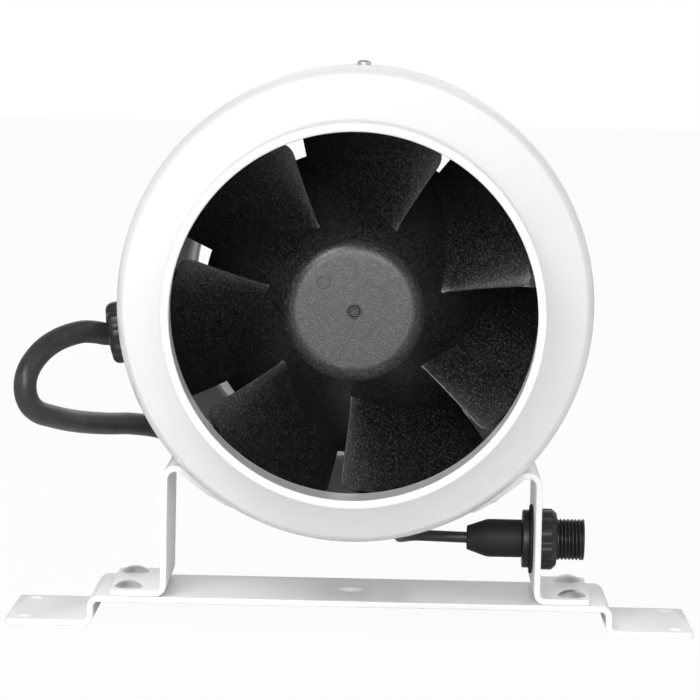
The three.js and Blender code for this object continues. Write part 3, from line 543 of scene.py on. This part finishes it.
def shell_outside():
    """From the seam to the rim and round its bead, for the +Y side."""
    bead_y, bead_r = HALF_LENGTH - RIM_BEAD / 2, COLLAR_R - RIM_BEAD / 2
    crease_r, crease_y = flare(FLARE_R)[-1]
    slope = Vector((COLLAR_R - crease_r, SHOULDER_Y - crease_y)).normalized()
    crease = [(crease_r + slope.x * d, crease_y + slope.y * d) for d in (0.25, 0.6)]
    cone_point = (crease_r + slope.x * 5, crease_y + slope.y * 5)
    fillet = rounded([cone_point, (COLLAR_R, SHOULDER_Y), (COLLAR_R, bead_y - 3)], [0, 3.5, 0], 8)
    return [
        (BODY_R - 0.45, SEAM),
        (BODY_R - 0.12, SEAM + 0.15),
        (BODY_R, SEAM + 0.5),
        *flare(FLARE_R)[:-1],
        (crease_r + 0.12, crease_y - 0.3),
        *crease,
        *fillet,
        *arc(bead_r, bead_y, RIM_BEAD / 2, 0, 180, 16),
    ]


def shell_inside():
    """From behind the rim's bead back to the barrel, for the +Y side."""
    rim_y = HALF_LENGTH - RIM_BEAD
    return [
        (COLLAR_R - RIM_BEAD + 0.4, rim_y + 0.3),
        (COLLAR_INSIDE_R - 0.4, rim_y),
        (COLLAR_INSIDE_R, rim_y - 0.6),
        (COLLAR_INSIDE_R, SHOULDER_Y + 1.5),
        (COLLAR_INSIDE_R + 0.5, SHOULDER_Y - 1),
        (COLLAR_INSIDE_R + 2.2, SHOULDER_Y - 2.8),
        *flare(FLARE_R - WALL)[::-1],
    ]


def shells():
    sides, soft = 256, 0.3
    mirrored = [(r, -y) for r, y in [*shell_outside(), *shell_inside(), (BODY_R - WALL, SEAM)]]
    lip_r = BODY_R - WALL - GAP
    lip = [
        (BODY_R - WALL, LIP_REACH / 2),
        (lip_r - LIP_WALL, LIP_REACH / 2 - 0.5),
        (lip_r - LIP_WALL, soft - LIP_REACH),
        (lip_r - 1.0, -LIP_REACH),
        (lip_r - soft, -LIP_REACH),
        (lip_r, soft - LIP_REACH),
        (lip_r, SEAM),
    ]
    outlet = [*shell_outside(), *shell_inside(), *lip]
    for node, profile in (("inlet_shell", mirrored), ("outlet_shell", outlet)):
        shape = moved(lathe(profile, sides), TO_AXIS)
        piece(f"{node}_fine", shape, "housing", "white_paint", SLOTS["white_paint"], node)


# ---- Impeller --------------------------------------------------------------------------------
def hub_r(y):
    return NOSE_R + HUB_SLOPE * (y - NOSE_Y)


def tip_limit(y):
    """The blade tips follow the inside of the collar and then the shoulder."""
    past = y + SHOULDER_Y - 1.3
    eased = 0.5 * (past + math.sqrt(past * past + 4)) if past > -20 else 0
    return min(TIP_R, COLLAR_INSIDE_R - TIP_GAP + 0.93 * max(0, eased - 0.4))


def blade_surface(chord, span):
    """Chord runs from the leading to the trailing edge, and span from root to tip."""
    past = max(0, (span - 0.82) / 0.18)
    cut_back = 0.085 * (1 - math.sqrt(max(0, 1 - past * past)))
    along = cut_back + (1 - cut_back) * chord
    depth = along**1.15
    root_y = lerp(BLADE_ROOT_FRONT_Y, BLADE_ROOT_REAR_Y, depth)
    tip_y = lerp(TIP_FRONT_Y, TIP_REAR_Y, depth)
    radius = lerp(hub_r(root_y) - HUB_WALL / 3, tip_limit(tip_y), span)
    clock = lerp(lerp(*ROOT_SWEEP, along), lerp(*TIP_SWEEP, along), span)
    return on_clock(clock, radius, lerp(root_y, tip_y, span))


def blade_thickness(chord, span):
    edge = min(1, 7 * chord + 0.62, 7 * (1 - chord) + 0.4)
    root = 1.6 * math.exp(-((span / 0.05) ** 2))
    return (1.0 + 1.3 * math.sin(math.pi * min(0.9, chord + 0.1))) * edge + root


def gathered(span):
    """Moves span steps towards the root and the tip, where the surface turns fastest."""
    return 0.5 - 0.5 * math.cos(math.pi * span)


def impeller():
    def inside(y):
        return hub_r(y) - HUB_WALL

    face_end, cone_start = (NOSE_R - 9, NOSE_Y), (hub_r(NOSE_Y + 9), NOSE_Y + 9)
    edge = rounded([face_end, (hub_r(NOSE_Y) - 0.4, NOSE_Y), cone_start], [0, 7.6, 0], 14)
    # radius and depth of the gate mark's rings in the middle of the nose
    mark = [(0, 0.5), (0.5, 0.5), (0.7, -0.1), (1.1, -0.1), (1.5, 0.35), (1.9, 0.35), (2.2, 0)]
    mark += [(2.5, 0.55), (2.9, 0.55), (3.1, 0)]
    hub = [
        *[(r, NOSE_Y + dent) for r, dent in mark],
        *edge,
        (hub_r(HUB_REAR_Y), HUB_REAR_Y),
        (inside(HUB_REAR_Y), HUB_REAR_Y),
        (inside(NOSE_Y + 3.6), NOSE_Y + 3.6),
        (0, NOSE_Y + 2.8),
    ]
    obj = mesh_object("impeller_fine", lathe(hub, 192))
    wing = thin_blade(
        lambda u, v: blade_surface(u, gathered(v)),
        lambda u, v: blade_thickness(u, gathered(v)),
        across=26,
        along=22,
    )
    blades = [moved(wing, turned(FIRST_BLADE + 360 / BLADES * i)) for i in range(BLADES)]
    boolean(obj, "UNION", together(*blades))
    ejector = [(2.1, -0.5), (2.7, -0.5), (2.5, 0.4), (2.3, 0.4)]
    boolean(obj, "DIFFERENCE", moved(lathe(ejector, 40), Matrix.Translation((-12.2, NOSE_Y, 11))))
    obj.data.transform(Matrix.Translation((0, 0, AXIS_Z * MM)))
    put(obj, "rotor", SLOTS["black_plastic"], ["impeller"], sharp=40)


# ---- Guide vanes and rear cap ----------------------------------------------------------------
def vane_surface(along, span):
    """A guide vane turns the swirling air back along the axis."""
    y = lerp(VANE_FRONT_Y, VANE_REAR_Y, along)
    radius = lerp(VANE_HUB_R - 2, RING_R - RING_WALL / 2, span)
    turn = VANE_TURN * (1 - (1 - along) ** 2)
    return on_clock(turn - VANE_LEAN * span**0.85, radius, y)


def vane_thickness(along, span):
    edge = min(1, 6 * along + 0.35, 6 * (1 - along) + 0.35)
    root = 1.8 * (math.exp(-((span / 0.06) ** 2)) + math.exp(-(((1 - span) / 0.06) ** 2)))
    return 2 * edge + root


def guide_vanes():
    outline = [
        (12, WEB_FRONT_Y),
        (VANE_HUB_R, WEB_FRONT_Y),
        (VANE_HUB_R - 1, 34),
        (VANE_HUB_R - 5.5, VANE_HUB_REAR_Y),
        (VANE_HUB_R - 8, VANE_HUB_REAR_Y),
        (VANE_HUB_R - 3.5, 33),
        (VANE_HUB_R - 2.5, WEB_FRONT_Y + 3),
        (12, WEB_FRONT_Y + 3),
    ]
    skin = rounded(outline, [0, 1.2, 2, 0.5, 0.5, 2, 1, 0], 4)
    obj = mesh_object("guide_vanes_fine", lathe(skin, 160))
    band = [
        (RING_R - RING_WALL, RING_FRONT_Y),
        (RING_R, RING_FRONT_Y),
        (RING_R, RING_REAR_Y),
        (RING_R - RING_WALL, RING_REAR_Y),
    ]
    wing = thin_blade(vane_surface, vane_thickness, across=14, along=14)
    vanes = [moved(wing, turned(FIRST_VANE + 360 / VANES * i)) for i in range(VANES)]
    boolean(obj, "UNION", lathe(rounded(band, [0.5] * 4, 3), 200), together(*vanes))
    obj.data.transform(Matrix.Translation((0, 0, AXIS_Z * MM)))
    put(obj, "housing", SLOTS["black_plastic"], ["guide_vanes"])


def rear_cap():
    rear_r = CAP_R - 7.5
    outline = [
        (CAP_R - 2, CAP_FRONT_Y),
        (CAP_R, CAP_FRONT_Y),
        (rear_r, CAP_REAR_Y - 3),
        (rear_r - 3, CAP_REAR_Y),
    ]
    skin = rounded(outline, [0, 0.4, 3, 2], 6)
    profile = [
        (0, CAP_REAR_Y - 2),
        (rear_r - 4.5, CAP_REAR_Y - 2),
        (rear_r - 2, CAP_REAR_Y - 4),
        *skin,
        (15, CAP_REAR_Y),
        (14.6, CAP_REAR_Y - 0.5),
        (13.4, CAP_REAR_Y - 0.5),
        (13, CAP_REAR_Y),
        (0, CAP_REAR_Y),
    ]
    obj = mesh_object("rear_cap_fine", moved(lathe(profile, 160), TO_AXIS))
    put(obj, "housing", SLOTS["black_plastic"], ["rear_cap"])


# ---- Screws and rivets -----------------------------------------------------------------------
def cross_screw(node, form, matrix):
    """A pan-head screw standing along +Z from Z = 0, with a cross recess."""
    head_r, head_height, shank_r, length = form
    low = 0.3 * head_height
    crown = [
        (head_r * math.cos(math.radians(a)), low + (head_height - low) * math.sin(math.radians(a)))
        for a in range(0, 90, 9)
    ]
    shank = [(0, -length), (shank_r, -length), (shank_r, 0)]
    profile = [*shank, (head_r - 0.15, 0), *crown, (0, head_height)]
    obj = mesh_object(f"{node}_fine", moved(lathe(profile, 48), Y_TO_Z))
    arm, reach, depth = 0.4, head_r * 0.5, head_height * 0.6
    bars = []
    for wide, deep in ((reach, arm), (arm, reach)):
        rings = []
        for z, grow in ((head_height - depth, 0.55), (head_height + 1, 1.1)):
            a, b = wide * grow, deep * grow
            rings.append([(-a, -b, z), (a, -b, z), (a, b, z), (-a, b, z)])
        bars.append(loft(rings))
    boolean(obj, "DIFFERENCE", *bars)
    obj.data.transform(Matrix.Scale(MM, 4) @ matrix @ Matrix.Scale(1 / MM, 4))
    put(obj, "housing", SLOTS["zinc_steel"], [node])


def dome_rivet(node, form, grip, matrix):
    """A rivet along +Z: its head's underside is at Z = 0 and its tail ends below the grip."""
    head_r, head_height, tail_r, tail_height = form
    dome_r = (head_r**2 + head_height**2) / (2 * head_height)
    half = math.degrees(math.asin(min(1, head_r / dome_r)))
    dome = [(r, z + head_height - dome_r) for r, z in arc(0, 0, dome_r, 90 - half, 90, 12)]
    shank_r = tail_r * 0.63
    profile = [
        (0, -grip - tail_height),
        (tail_r * 0.75, -grip - tail_height),
        (tail_r, -grip - tail_height * 0.4),
        (tail_r, -grip),
        (shank_r, -grip),
        (shank_r, 0),
        (head_r - 0.1, 0),
        *dome[:-1],
        (0, head_height),
    ]
    shape = moved(moved(lathe(profile, 48), Y_TO_Z), matrix)
    piece(f"{node}_fine", shape, "housing", "zinc_steel", SLOTS["zinc_steel"], node, sharp=40)


def on_barrel(node, radius):
    """A seat on the barrel at the node's clock angle, facing outwards along +Z."""
    return TO_AXIS @ turned(clock_of(node)) @ Matrix.Translation((0, middle(node).y, radius))


def fasteners():
    for i in (1, 2, 3):
        node = f"casing_screw_{i}"
        cross_screw(node, CASING_SCREW_FORM, on_barrel(node, BODY_R))
        node = f"cap_screw_{i}"
        place = middle(node)
        seat = Matrix.Translation((place.x, CAP_REAR_Y + 0.05, place.z))
        cross_screw(node, CAP_SCREW_FORM, seat @ Matrix.Rotation(-math.pi / 2, 4, "X"))
    for side in ("left", "right"):
        for end in ("front", "rear"):
            node = f"leg_rivet_{side}_{end}"
            place = middle(node)
            seat = Matrix.Translation((place.x, place.y, STRIP_TOP + SHEET + SEAT))
            dome_rivet(node, LEG_RIVET_FORM, 2 * SHEET + 0.3, seat)
            node = f"tab_rivet_{side}_{end}"
            seat = on_barrel(node, BODY_R + SHEET + 0.35)
            dome_rivet(node, TAB_RIVET_FORM, SHEET + WALL + 1.2, seat)


# ---- Bracket ---------------------------------------------------------------------------------
def folded_sheet(line, half_width_at, corner_r):
    """A sheet along a line of (x, z) points, with softened edges and rounded end corners."""
    soft = 0.45
    length = [0]
    for (ax, az), (bx, bz) in zip(line, line[1:]):
        length.append(length[-1] + math.hypot(bx - ax, bz - az))
    total = length[-1]

    def at(s):
        i = max(k for k in range(len(line) - 1) if length[k] <= min(s, total - 1e-6) + 1e-9)
        t = (s - length[i]) / (length[i + 1] - length[i])
        return Vector(line[i]).lerp(Vector(line[i + 1]), t)

    corner = [corner_r * (1 - math.cos(math.radians(a))) for a in range(15, 91, 15)]
    from_end = [0, soft * 0.3, soft, *corner]
    stops = {round(s, 4) for s in [*length, *from_end, *(total - gap for gap in from_end)]}
    rings = []
    for s in sorted(stops):
        here, ahead, behind = at(s), at(min(s + 0.05, total)), at(max(s - 0.05, 0))
        direction = (ahead - behind).normalized()
        across = Vector((-direction.y, direction.x))
        width, inset = half_width_at(abs(here.x)), 0
        gap = min(s, total - s)
        if gap < corner_r:
            width -= corner_r - math.sqrt(corner_r**2 - (corner_r - gap) ** 2)
        if gap < soft:
            inset = soft - math.sqrt(max(0, soft**2 - (soft - gap) ** 2))
        half = SHEET / 2 - inset
        section = []
        edge = min(soft, half)
        for cx, cy, start in ((1, 1, 0), (-1, 1, 90), (-1, -1, 180), (1, -1, 270)):
            u, v = cx * (width - inset - edge), cy * (half - edge)
            section += arc(u, v, edge, start, start + 90, 3)
        rings.append([(here.x + across.x * v, u, here.y + across.y * v) for u, v in section])
    return loft(rings)


def hole(radius, low, high):
    """A round cutter along Z that also breaks the edges at both faces of the sheet."""
    soft = 0.4
    profile = [
        (0, low - 3),
        (radius + soft + 3, low - 3),
        (radius, low + soft),
        (radius, high - soft),
        (radius + soft + 3, high + 3),
        (0, high + 3),
    ]
    return moved(lathe(profile, 48), Y_TO_Z)


def base_plate():
    """The joggled foot: two feet on the ground and a raised strip between them."""
    low, high = SHEET / 2, STRIP_TOP - SHEET / 2
    half = [
        *arc(FOOT_START - BEND_R, high - BEND_R, BEND_R, 90, 0, 7),
        *arc(FOOT_START + BEND_R, low + BEND_R, BEND_R, 180, 270, 7),
        (BASE_HALF, low),
    ]
    line = [(-x, z) for x, z in half[::-1]] + half
    base = mesh_object("base_plate_fine", folded_sheet(line, lambda x: BRACKET_HALF_WIDTH, 3))
    cuts = [hole(MIDDLE_HOLE_R, STRIP_TOP - SHEET, STRIP_TOP)]
    for sx in (-1, 1):
        for sy in (-1, 1):
            foot = Matrix.Translation((sx * FOOT_HOLE[0], sy * FOOT_HOLE[1], 0))
            cuts.append(moved(hole(FOOT_HOLE_R, 0, SHEET), foot))
            shank = Matrix.Translation((sx * RIVET.x, sy * RIVET.y, 0))
            cuts.append(moved(hole(RIVET_HOLE_R, STRIP_TOP - SHEET, STRIP_TOP), shank))
    boolean(base, "DIFFERENCE", *cuts)
    put(base, "housing", BRACKET_PAINT_LIGHTENED, ["base_plate"])


def legs():
    """A flange on the strip, an upright, and a tab folded over onto the barrel."""
    leg_x = LEG_OUTER_X - SHEET / 2
    saddle_r = BODY_R + GAP + SHEET / 2
    fold_x = leg_x - FOLD_R
    drop = math.sqrt((saddle_r + FOLD_R) ** 2 - fold_x**2)
    tab_start = math.degrees(math.atan2(drop, fold_x))
    flange_z = STRIP_TOP + SEAT + SHEET / 2
    line = [
        (FLANGE_END_X, flange_z),
        *arc(leg_x + BEND_R, flange_z + BEND_R, BEND_R, 270, 180, 7),
        *arc(fold_x, AXIS_Z - drop, FOLD_R, 0, 180 - tab_start, 12),
        *arc(0, AXIS_Z, saddle_r, -tab_start - 1, -TAB_END, 10),
    ]
    taper_start, taper_end = fold_x - 2, saddle_r * math.cos(math.radians(TAB_END))

    def half_width_at(x):
        along = max(0, (taper_start - x) / (taper_start - taper_end))
        return lerp(BRACKET_HALF_WIDTH, TAB_END_HALF_WIDTH, along)

    for name, side in (("left_leg", -1), ("right_leg", 1)):
        sided = [(side * x, z) for x, z in line]
        leg = mesh_object(f"{name}_fine", folded_sheet(sided, half_width_at, 4))
        if side > 0:
            # longer than the sheet is thick, around LEG_OUTER_X
            cutter = [(0, 70), (SOCKET_HOLE_R, 70), (SOCKET_HOLE_R, 85), (0, 85)]
            seat = Matrix.Translation((0, 0, middle("socket_body").z))
            boolean(leg, "DIFFERENCE", moved(moved(lathe(cutter, 48), Y_TO_X), seat))
        put(leg, "housing", BRACKET_PAINT_LIGHTENED, [name])


# ---- Cords -----------------------------------------------------------------------------------
def centreline(node, sides):
    """Middle points of a cord's rings, walking its mesh from the end with the greatest X."""
    mesh = frame["nodes"][node].data
    near = defaultdict(set)
    for face in mesh.polygons:
        corners = {tuple(round(c / MM, 2) for c in mesh.vertices[i].co) for i in face.vertices}
        for corner in corners:
            near[corner] |= corners
    ring = set(sorted(near)[-sides:])
    seen, centres = set(ring), []
    while ring:
        centres.append(sum((Vector(p) for p in ring), Vector()) / len(ring))
        ring = set().union(*(near[p] for p in ring)) - seen
        seen |= ring
    return centres


def smooth_path(points, steps):
    """A Catmull-Rom curve through the points."""
    ends = [points[0] * 2 - points[1], *points, points[-1] * 2 - points[-2]]
    out = []
    for a, b, c, d in zip(ends, ends[1:], ends[2:], ends[3:]):
        for k in range(steps):
            t = k / steps
            square, cube = 2 * a - 5 * b + 4 * c - d, 3 * b - a - 3 * c + d
            out.append(0.5 * (2 * b + (c - a) * t + square * t * t + cube * t**3))
    return [*out, points[-1]]


def cord(points, radius, sides):
    """A round cord whose sections turn as little as they can along it."""
    turns = [TAU * k / sides for k in range(sides)]
    rings = []
    across = None
    for i, here in enumerate(points):
        along = (points[min(i + 1, len(points) - 1)] - points[max(i - 1, 0)]).normalized()
        if across is None:
            across = along.orthogonal()
        across = (across - along * across.dot(along)).normalized()
        other = along.cross(across)
        u, v = across * radius, other * radius
        rings.append([here + u * math.cos(a) + v * math.sin(a) for a in turns])
    return loft(rings)


def cords():
    # the CAD cord's sides, then its radius and the sides drawn here
    for node, cad_sides, radius, sides in (
        ("power_cord", 8, CORD_R, 32),
        ("control_cable", 6, CONTROL_R, 20),
    ):
        shape = cord(smooth_path(centreline(node, cad_sides), 4), radius, sides)
        piece(f"{node}_fine", shape, "housing", "cord_pvc", SLOTS["cord_pvc"], node)


def cord_bushing():
    """Strain relief: a lobed dome outside the shell, a round nose and a neck through it."""
    height, radius, lobes = 8, 13.3, 10

    def lobed(r, y, a):
        fade = max(0, min(1, (r - 8) / 4)) if y > 0.1 else 0
        return r - 1.1 * fade * (0.5 - 0.5 * math.cos(lobes * a)) ** 1.5

    dome = [(radius - 0.6, 0.0), (radius, 0.8), (radius - 0.3, height), (6.2, height)]
    bore_r, neck_r, neck = CORD_R + GAP, 8, 2.5
    profile = [
        (bore_r, -neck),
        (neck_r, -neck),
        (neck_r, 0),
        *rounded(dome, [0, 0.4, 3.4, 0], 12),
        (bore_r + 0.6, height),
        (bore_r, height - 0.6),
    ]
    node = "cord_bushing"
    shape = moved(moved(lathe(profile, 200, lobed), Y_TO_Z), on_barrel(node, BODY_R + GAP))
    piece(f"{node}_fine", shape, "housing", "black_nylon", SLOTS["black_nylon"], node)


def plug():
    """Moulded plug: ribbed strain relief, round grip with ridges and a flat pin face."""
    start, end = extent("plug_body", X)
    place = middle("plug_body")
    seat = Matrix.Translation((0, place.y, place.z))
    grip_r = 12.9
    ribs = []
    for i in range(5):
        x = start + 1 + i * 2.4
        ribs += [(6.9, x), (6.9, x + 1.3), (5.9, x + 1.6), (5.9, x + 2.1)]
    outline = [
        (7.2, start + 13.5),
        (8, start + 17),
        (grip_r, start + 25),
        (grip_r, end - 0.8),
        (grip_r - 0.8, end),
        (0, end),
    ]
    grip = rounded(outline, [0, 3, 7, 0.4, 0.6, 0], 8)
    bore_r, bore_end = CORD_R + 0.5, start + 10
    profile = [(bore_r, bore_end), (bore_r, start), (6.5, start), *ribs, *grip[:-1]]
    profile += [(0, end), (0, bore_end)]

    def ridged(r, x, a):
        if start + 24 < x < end - 3 and r > 12:
            return r - 0.5 * (0.5 + 0.5 * math.cos(24 * a)) ** 2
        return r

    shape = moved(lathe(profile, 192, ridged), seat @ Y_TO_X)
    piece("plug_body_fine", shape, "housing", "cord_pvc", SLOTS["cord_pvc"], "plug_body")
    for use in ("live", "neutral", "earth"):
        node = f"plug_pin_{use}"
        shape = round_pin(node) if use == "earth" else flat_pin(node)
        piece(f"{node}_fine", shape, "housing", "brass", SLOTS["brass"], node)


def round_pin(node):
    """A round pin along X with a domed end."""
    low, high = (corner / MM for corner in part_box(node))
    centre, radius = (low + high) / 2, (high.y - low.y) / 2
    outline = [(0, low.x), (radius, low.x), (radius, high.x), (0, high.x)]
    profile = rounded(outline, [0, 0.3, 1.8, 0], 6)[:-1] + [(0, high.x)]
    return moved(lathe(profile, 40), Matrix.Translation((0, centre.y, centre.z)) @ Y_TO_X)


def flat_pin(node):
    """A flat blade along X with softened edges and a tapered end."""
    low, high = (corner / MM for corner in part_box(node))
    centre, half = (low + high) / 2, (high - low) / 2
    edge = 0.25
    rings = []
    for x, shrink in ((low.x, 0), (high.x - 2, 0), (high.x - 0.7, 0.25), (high.x, 0.5)):
        y_half, z_half = half.y - shrink * 0.9, half.z - shrink * 1.6
        ring = []
        for sy, sz, start in ((1, 1, 0), (-1, 1, 90), (-1, -1, 180), (1, -1, 270)):
            ring += arc(sy * (y_half - edge), sz * (z_half - edge), edge, start, start + 90, 3)
        rings.append([(x, centre.y + y, centre.z + z) for y, z in ring])
    return loft(rings)


# ---- Control socket --------------------------------------------------------------------------
def control_socket():
    """Threaded socket through the right leg, its flange inside and its washer and nut outside."""
    nylon, rubber = SLOTS["black_nylon"], SLOTS["black_rubber"]
    start, end = extent("socket_body", X)
    seat = Matrix.Translation((0, 0, middle("socket_body").z)) @ Y_TO_X
    thread_r, pitch, thread_depth = 8.5, 1.5, 0.75
    thread_start, thread_end = 84.9, end - 0.6
    flange_r, flange_end, neck_r = 12, 73.3, 8.3
    well_r, well_floor = 6.3, 81

    def threaded(r, x, a):
        if not thread_start <= x <= thread_end or r < 7.5:
            return r
        ridge = abs(((x - thread_start) / pitch - a / TAU) % 1 - 0.5) * 2
        ease = min(1, (x - thread_start) / 0.8, (thread_end - x) / 0.8)
        return r - thread_depth * (1 - min(1, ridge * 1.35)) * ease

    steps = 84
    barrel = [(thread_r, lerp(thread_start, thread_end, i / steps)) for i in range(steps + 1)]
    flange = [(0.01, start), (flange_r, start), (flange_r, flange_end), (neck_r, flange_end)]
    profile = [
        (0, start),
        *rounded(flange, [0, 0.5, 0.3, 0], 4)[1:],
        (neck_r, thread_start - 0.5),
        *barrel,
        *arc(thread_r - 0.6, thread_end, 0.6, 15, 90, 4),
        (well_r + 0.3, end),
        (well_r, end - 0.3),
        (well_r, well_floor),
        (0, well_floor),
    ]
    shape = moved(lathe(profile, 128, threaded), seat)
    piece("socket_body_fine", shape, "housing", "black_nylon", nylon, "socket_body")

    nut_start, nut_end = extent("socket_nut", X)
    nut_r, lobes = 12.8, 8

    def lobed(r, x, a):
        fade = max(0, min(1, (r - 11) / 1.2))
        return r - 1.5 * fade * (0.5 + 0.5 * math.cos(lobes * a)) ** 2

    outline = [
        (SOCKET_HOLE_R, nut_start),
        (nut_r - 0.2, nut_start),
        (nut_r, nut_start + 0.6),
        (nut_r, nut_end - 2),
        (nut_r - 2, nut_end),
        (SOCKET_HOLE_R, nut_end),
    ]
    nut = rounded(outline, [0, 0.3, 0.2, 1.1, 0.8, 0], 6)
    shape = moved(lathe(nut, 192, lobed), seat)
    piece("socket_nut_fine", shape, "housing", "black_nylon", nylon, "socket_nut")

    low, high = extent("socket_washer", X)
    washer_r = 14.3
    washer = [(SOCKET_HOLE_R, low), (washer_r, low), (washer_r, high), (SOCKET_HOLE_R, high)]
    shape = moved(lathe(rounded(washer, [0, 0.4, 0.4, 0], 4), 96), seat)
    piece("socket_washer_fine", shape, "housing", "black_rubber", rubber, "socket_washer")

    low, high = extent("cable_boot", X)
    bore_r, bore_end = CONTROL_R + GAP, low + 11
    outline = [(bore_r, low), (4.9, low), (7.85, low + 8.5), (7.8, high), (0, high)]
    boot = rounded(outline, [0, 0.5, 7, 0.3, 0], 8)
    profile = [(0, bore_end), (bore_r, bore_end), *boot[:-1], (0, high)]
    shape = moved(lathe(profile, 96), seat)
    piece("cable_boot_fine", shape, "housing", "black_rubber", rubber, "cable_boot")

    for i in (1, 2, 3, 4):
        node = f"socket_pin_{i}"
        low, high = extent(node, X)
        profile = rounded([(0, low), (0.7, low), (0.7, high), (0, high)], [0, 0.1, 0.45, 0], 4)
        place = Matrix.Translation((0, middle(node).y, middle(node).z)) @ Y_TO_X
        shape = moved(lathe(profile[:-1] + [(0, high)], 24), place)
        piece(f"{node}_fine", shape, "housing", "brass", SLOTS["brass"], node)


def carried_over_nodes():
    """What stays as the CAD made it still gets its material from its slot."""
    slots = {row["node"]: row["material_slot"] for row in frame["record"]["subparts"]}
    for name, obj in frame["nodes"].items():
        obj.data.materials.clear()
        obj.data.materials.append(SLOTS[slots[name]])


# ---- Floor, light and camera -----------------------------------------------------------------
FLOOR_LIFT = 0.95  # share of the white that the camera sees on the floor
FLOOR_HALF = 9000
SIDE_LIGHT = 0.70
TOP_LIGHT = 0.28
BACK_LIGHT = 0.05  # added towards the back
EYE = (14.3, -1519.6, 239.7)
PITCH, YAW, ROLL = 4.802, 0.621, 1.136
LENS, SENSOR = 190.3, 36
# name, place and size in metres, watts
LAMPS = (
    ("front", (-0.1, -2.4, 0.6), 1.3, 27),
    ("upper", (-0.7, -1.6, 1.45), 0.65, 16),
    ("right", (1.8, -0.9, 0.8), 1.2, 3.5),
    ("behind", (0.1, 1.6, 0.9), 1.2, 2.5),
)


def seen_by_camera(tree, for_camera, otherwise, share, output):
    """Mixes in a shader that only camera rays meet, so that it lights nothing."""
    path = tree.nodes.new("ShaderNodeLightPath")
    scale = tree.nodes.new("ShaderNodeMath")
    scale.operation = "MULTIPLY"
    scale.inputs[1].default_value = share
    blend = tree.nodes.new("ShaderNodeMixShader")
    tree.links.new(path.outputs["Is Camera Ray"], scale.inputs[0])
    tree.links.new(scale.outputs["Value"], blend.inputs["Fac"])
    tree.links.new(otherwise, blend.inputs[1])
    tree.links.new(for_camera, blend.inputs[2])
    tree.links.new(blend.outputs["Shader"], output)


def pale_floor():
    """A level floor, lifted to the surround's white for the camera so that no horizon shows."""
    n = Nodes("pale_floor")
    tone = n.mixed(n.noise(90, 2), grey(0.80), grey(0.82))
    n.done(tone, n.ranged(n.noise(12), 0.75, 0.85))
    glow = n.add("ShaderNodeEmission")
    output = n.tree.nodes["Material Output"].inputs["Surface"]
    seen_by_camera(n.tree, glow.outputs["Emission"], n.shader.outputs["BSDF"], FLOOR_LIFT, output)
    signs = ((-1, -1), (1, -1), (1, 1), (-1, 1))
    corners = [Vector((x * FLOOR_HALF, y * FLOOR_HALF, -0.05)) for x, y in signs]
    floor = mesh_object("floor", (corners, [(0, 1, 2, 3)]))
    floor.data.materials.append(n.material)


def surround():
    """White to the camera. As a light it is dimmer overhead, with a little added behind."""
    world = bpy.data.worlds.new("studio")
    world.use_nodes = True
    tree = world.node_tree
    place = tree.nodes.new("ShaderNodeTexCoord")
    split = tree.nodes.new("ShaderNodeSeparateXYZ")
    level = tree.nodes.new("ShaderNodeMapRange")
    level.inputs["From Min"].default_value = -0.1
    level.inputs["To Min"].default_value = SIDE_LIGHT
    level.inputs["To Max"].default_value = TOP_LIGHT
    behind = tree.nodes.new("ShaderNodeMapRange")
    behind.inputs["To Max"].default_value = BACK_LIGHT
    both = tree.nodes.new("ShaderNodeMath")
    light = tree.nodes["Background"]
    white = tree.nodes.new("ShaderNodeBackground")
    white.inputs["Color"].default_value = (1, 1, 1, 1)
    light.inputs["Color"].default_value = (1, 1, 1, 1)
    tree.links.new(place.outputs["Generated"], split.inputs["Vector"])
    tree.links.new(split.outputs["Z"], level.inputs["Value"])
    tree.links.new(split.outputs["Y"], behind.inputs["Value"])
    tree.links.new(level.outputs["Result"], both.inputs[0])
    tree.links.new(behind.outputs["Result"], both.inputs[1])
    tree.links.new(both.outputs["Value"], light.inputs["Strength"])
    output = tree.nodes["World Output"].inputs["Surface"]
    seen_by_camera(tree, white.outputs["Background"], light.outputs["Background"], 1, output)
    bpy.context.scene.world = world


def lamps():
    """Square soft boxes aimed at the middle of the fan."""
    centre = Vector((0, 0, AXIS_Z)) * MM
    for name, place, size, watts in LAMPS:
        light = bpy.data.lights.new(name, "AREA")
        light.shape, light.size, light.energy = "SQUARE", size, watts
        lamp = bpy.data.objects.new(name, light)
        lamp.location = place
        lamp.rotation_mode = "QUATERNION"
        lamp.rotation_quaternion = (centre - lamp.location).to_track_quat("-Z", "Y")
        bpy.context.scene.collection.objects.link(lamp)


def camera():
    """A long lens in front of the inlet, a little above the axis and looking slightly down."""
    place = Vector(EYE) * MM
    pitch, yaw, roll = (math.radians(a) for a in (PITCH, YAW, ROLL))
    level = Vector((-math.sin(yaw), math.cos(yaw), 0))
    right = Vector((math.cos(yaw), math.sin(yaw), 0))
    forward = math.cos(pitch) * level - math.sin(pitch) * Vector((0, 0, 1))
    up = math.sin(pitch) * level + math.cos(pitch) * Vector((0, 0, 1))
    rolled_right = math.cos(roll) * right + math.sin(roll) * up
    rolled_up = math.cos(roll) * up - math.sin(roll) * right
    axes = (rolled_right, rolled_up, -forward)
    data = bpy.data.cameras.new("camera")
    data.sensor_width, data.lens = SENSOR, LENS
    data.clip_start, data.clip_end = 0.05, 30
    eye = bpy.data.objects.new("camera", data)
    eye.matrix_world = Matrix.Translation(place) @ Matrix(axes).transposed().to_4x4()
    bpy.context.scene.collection.objects.link(eye)
    bpy.context.scene.camera = eye


shells()
impeller()
guide_vanes()
rear_cap()
fasteners()
base_plate()
legs()
cords()
cord_bushing()
plug()
control_socket()
carried_over_nodes()
pale_floor()
surround()
lamps()
camera()
bpy.context.scene.view_settings.view_transform = "Standard"

bpy.context.view_layer.update()
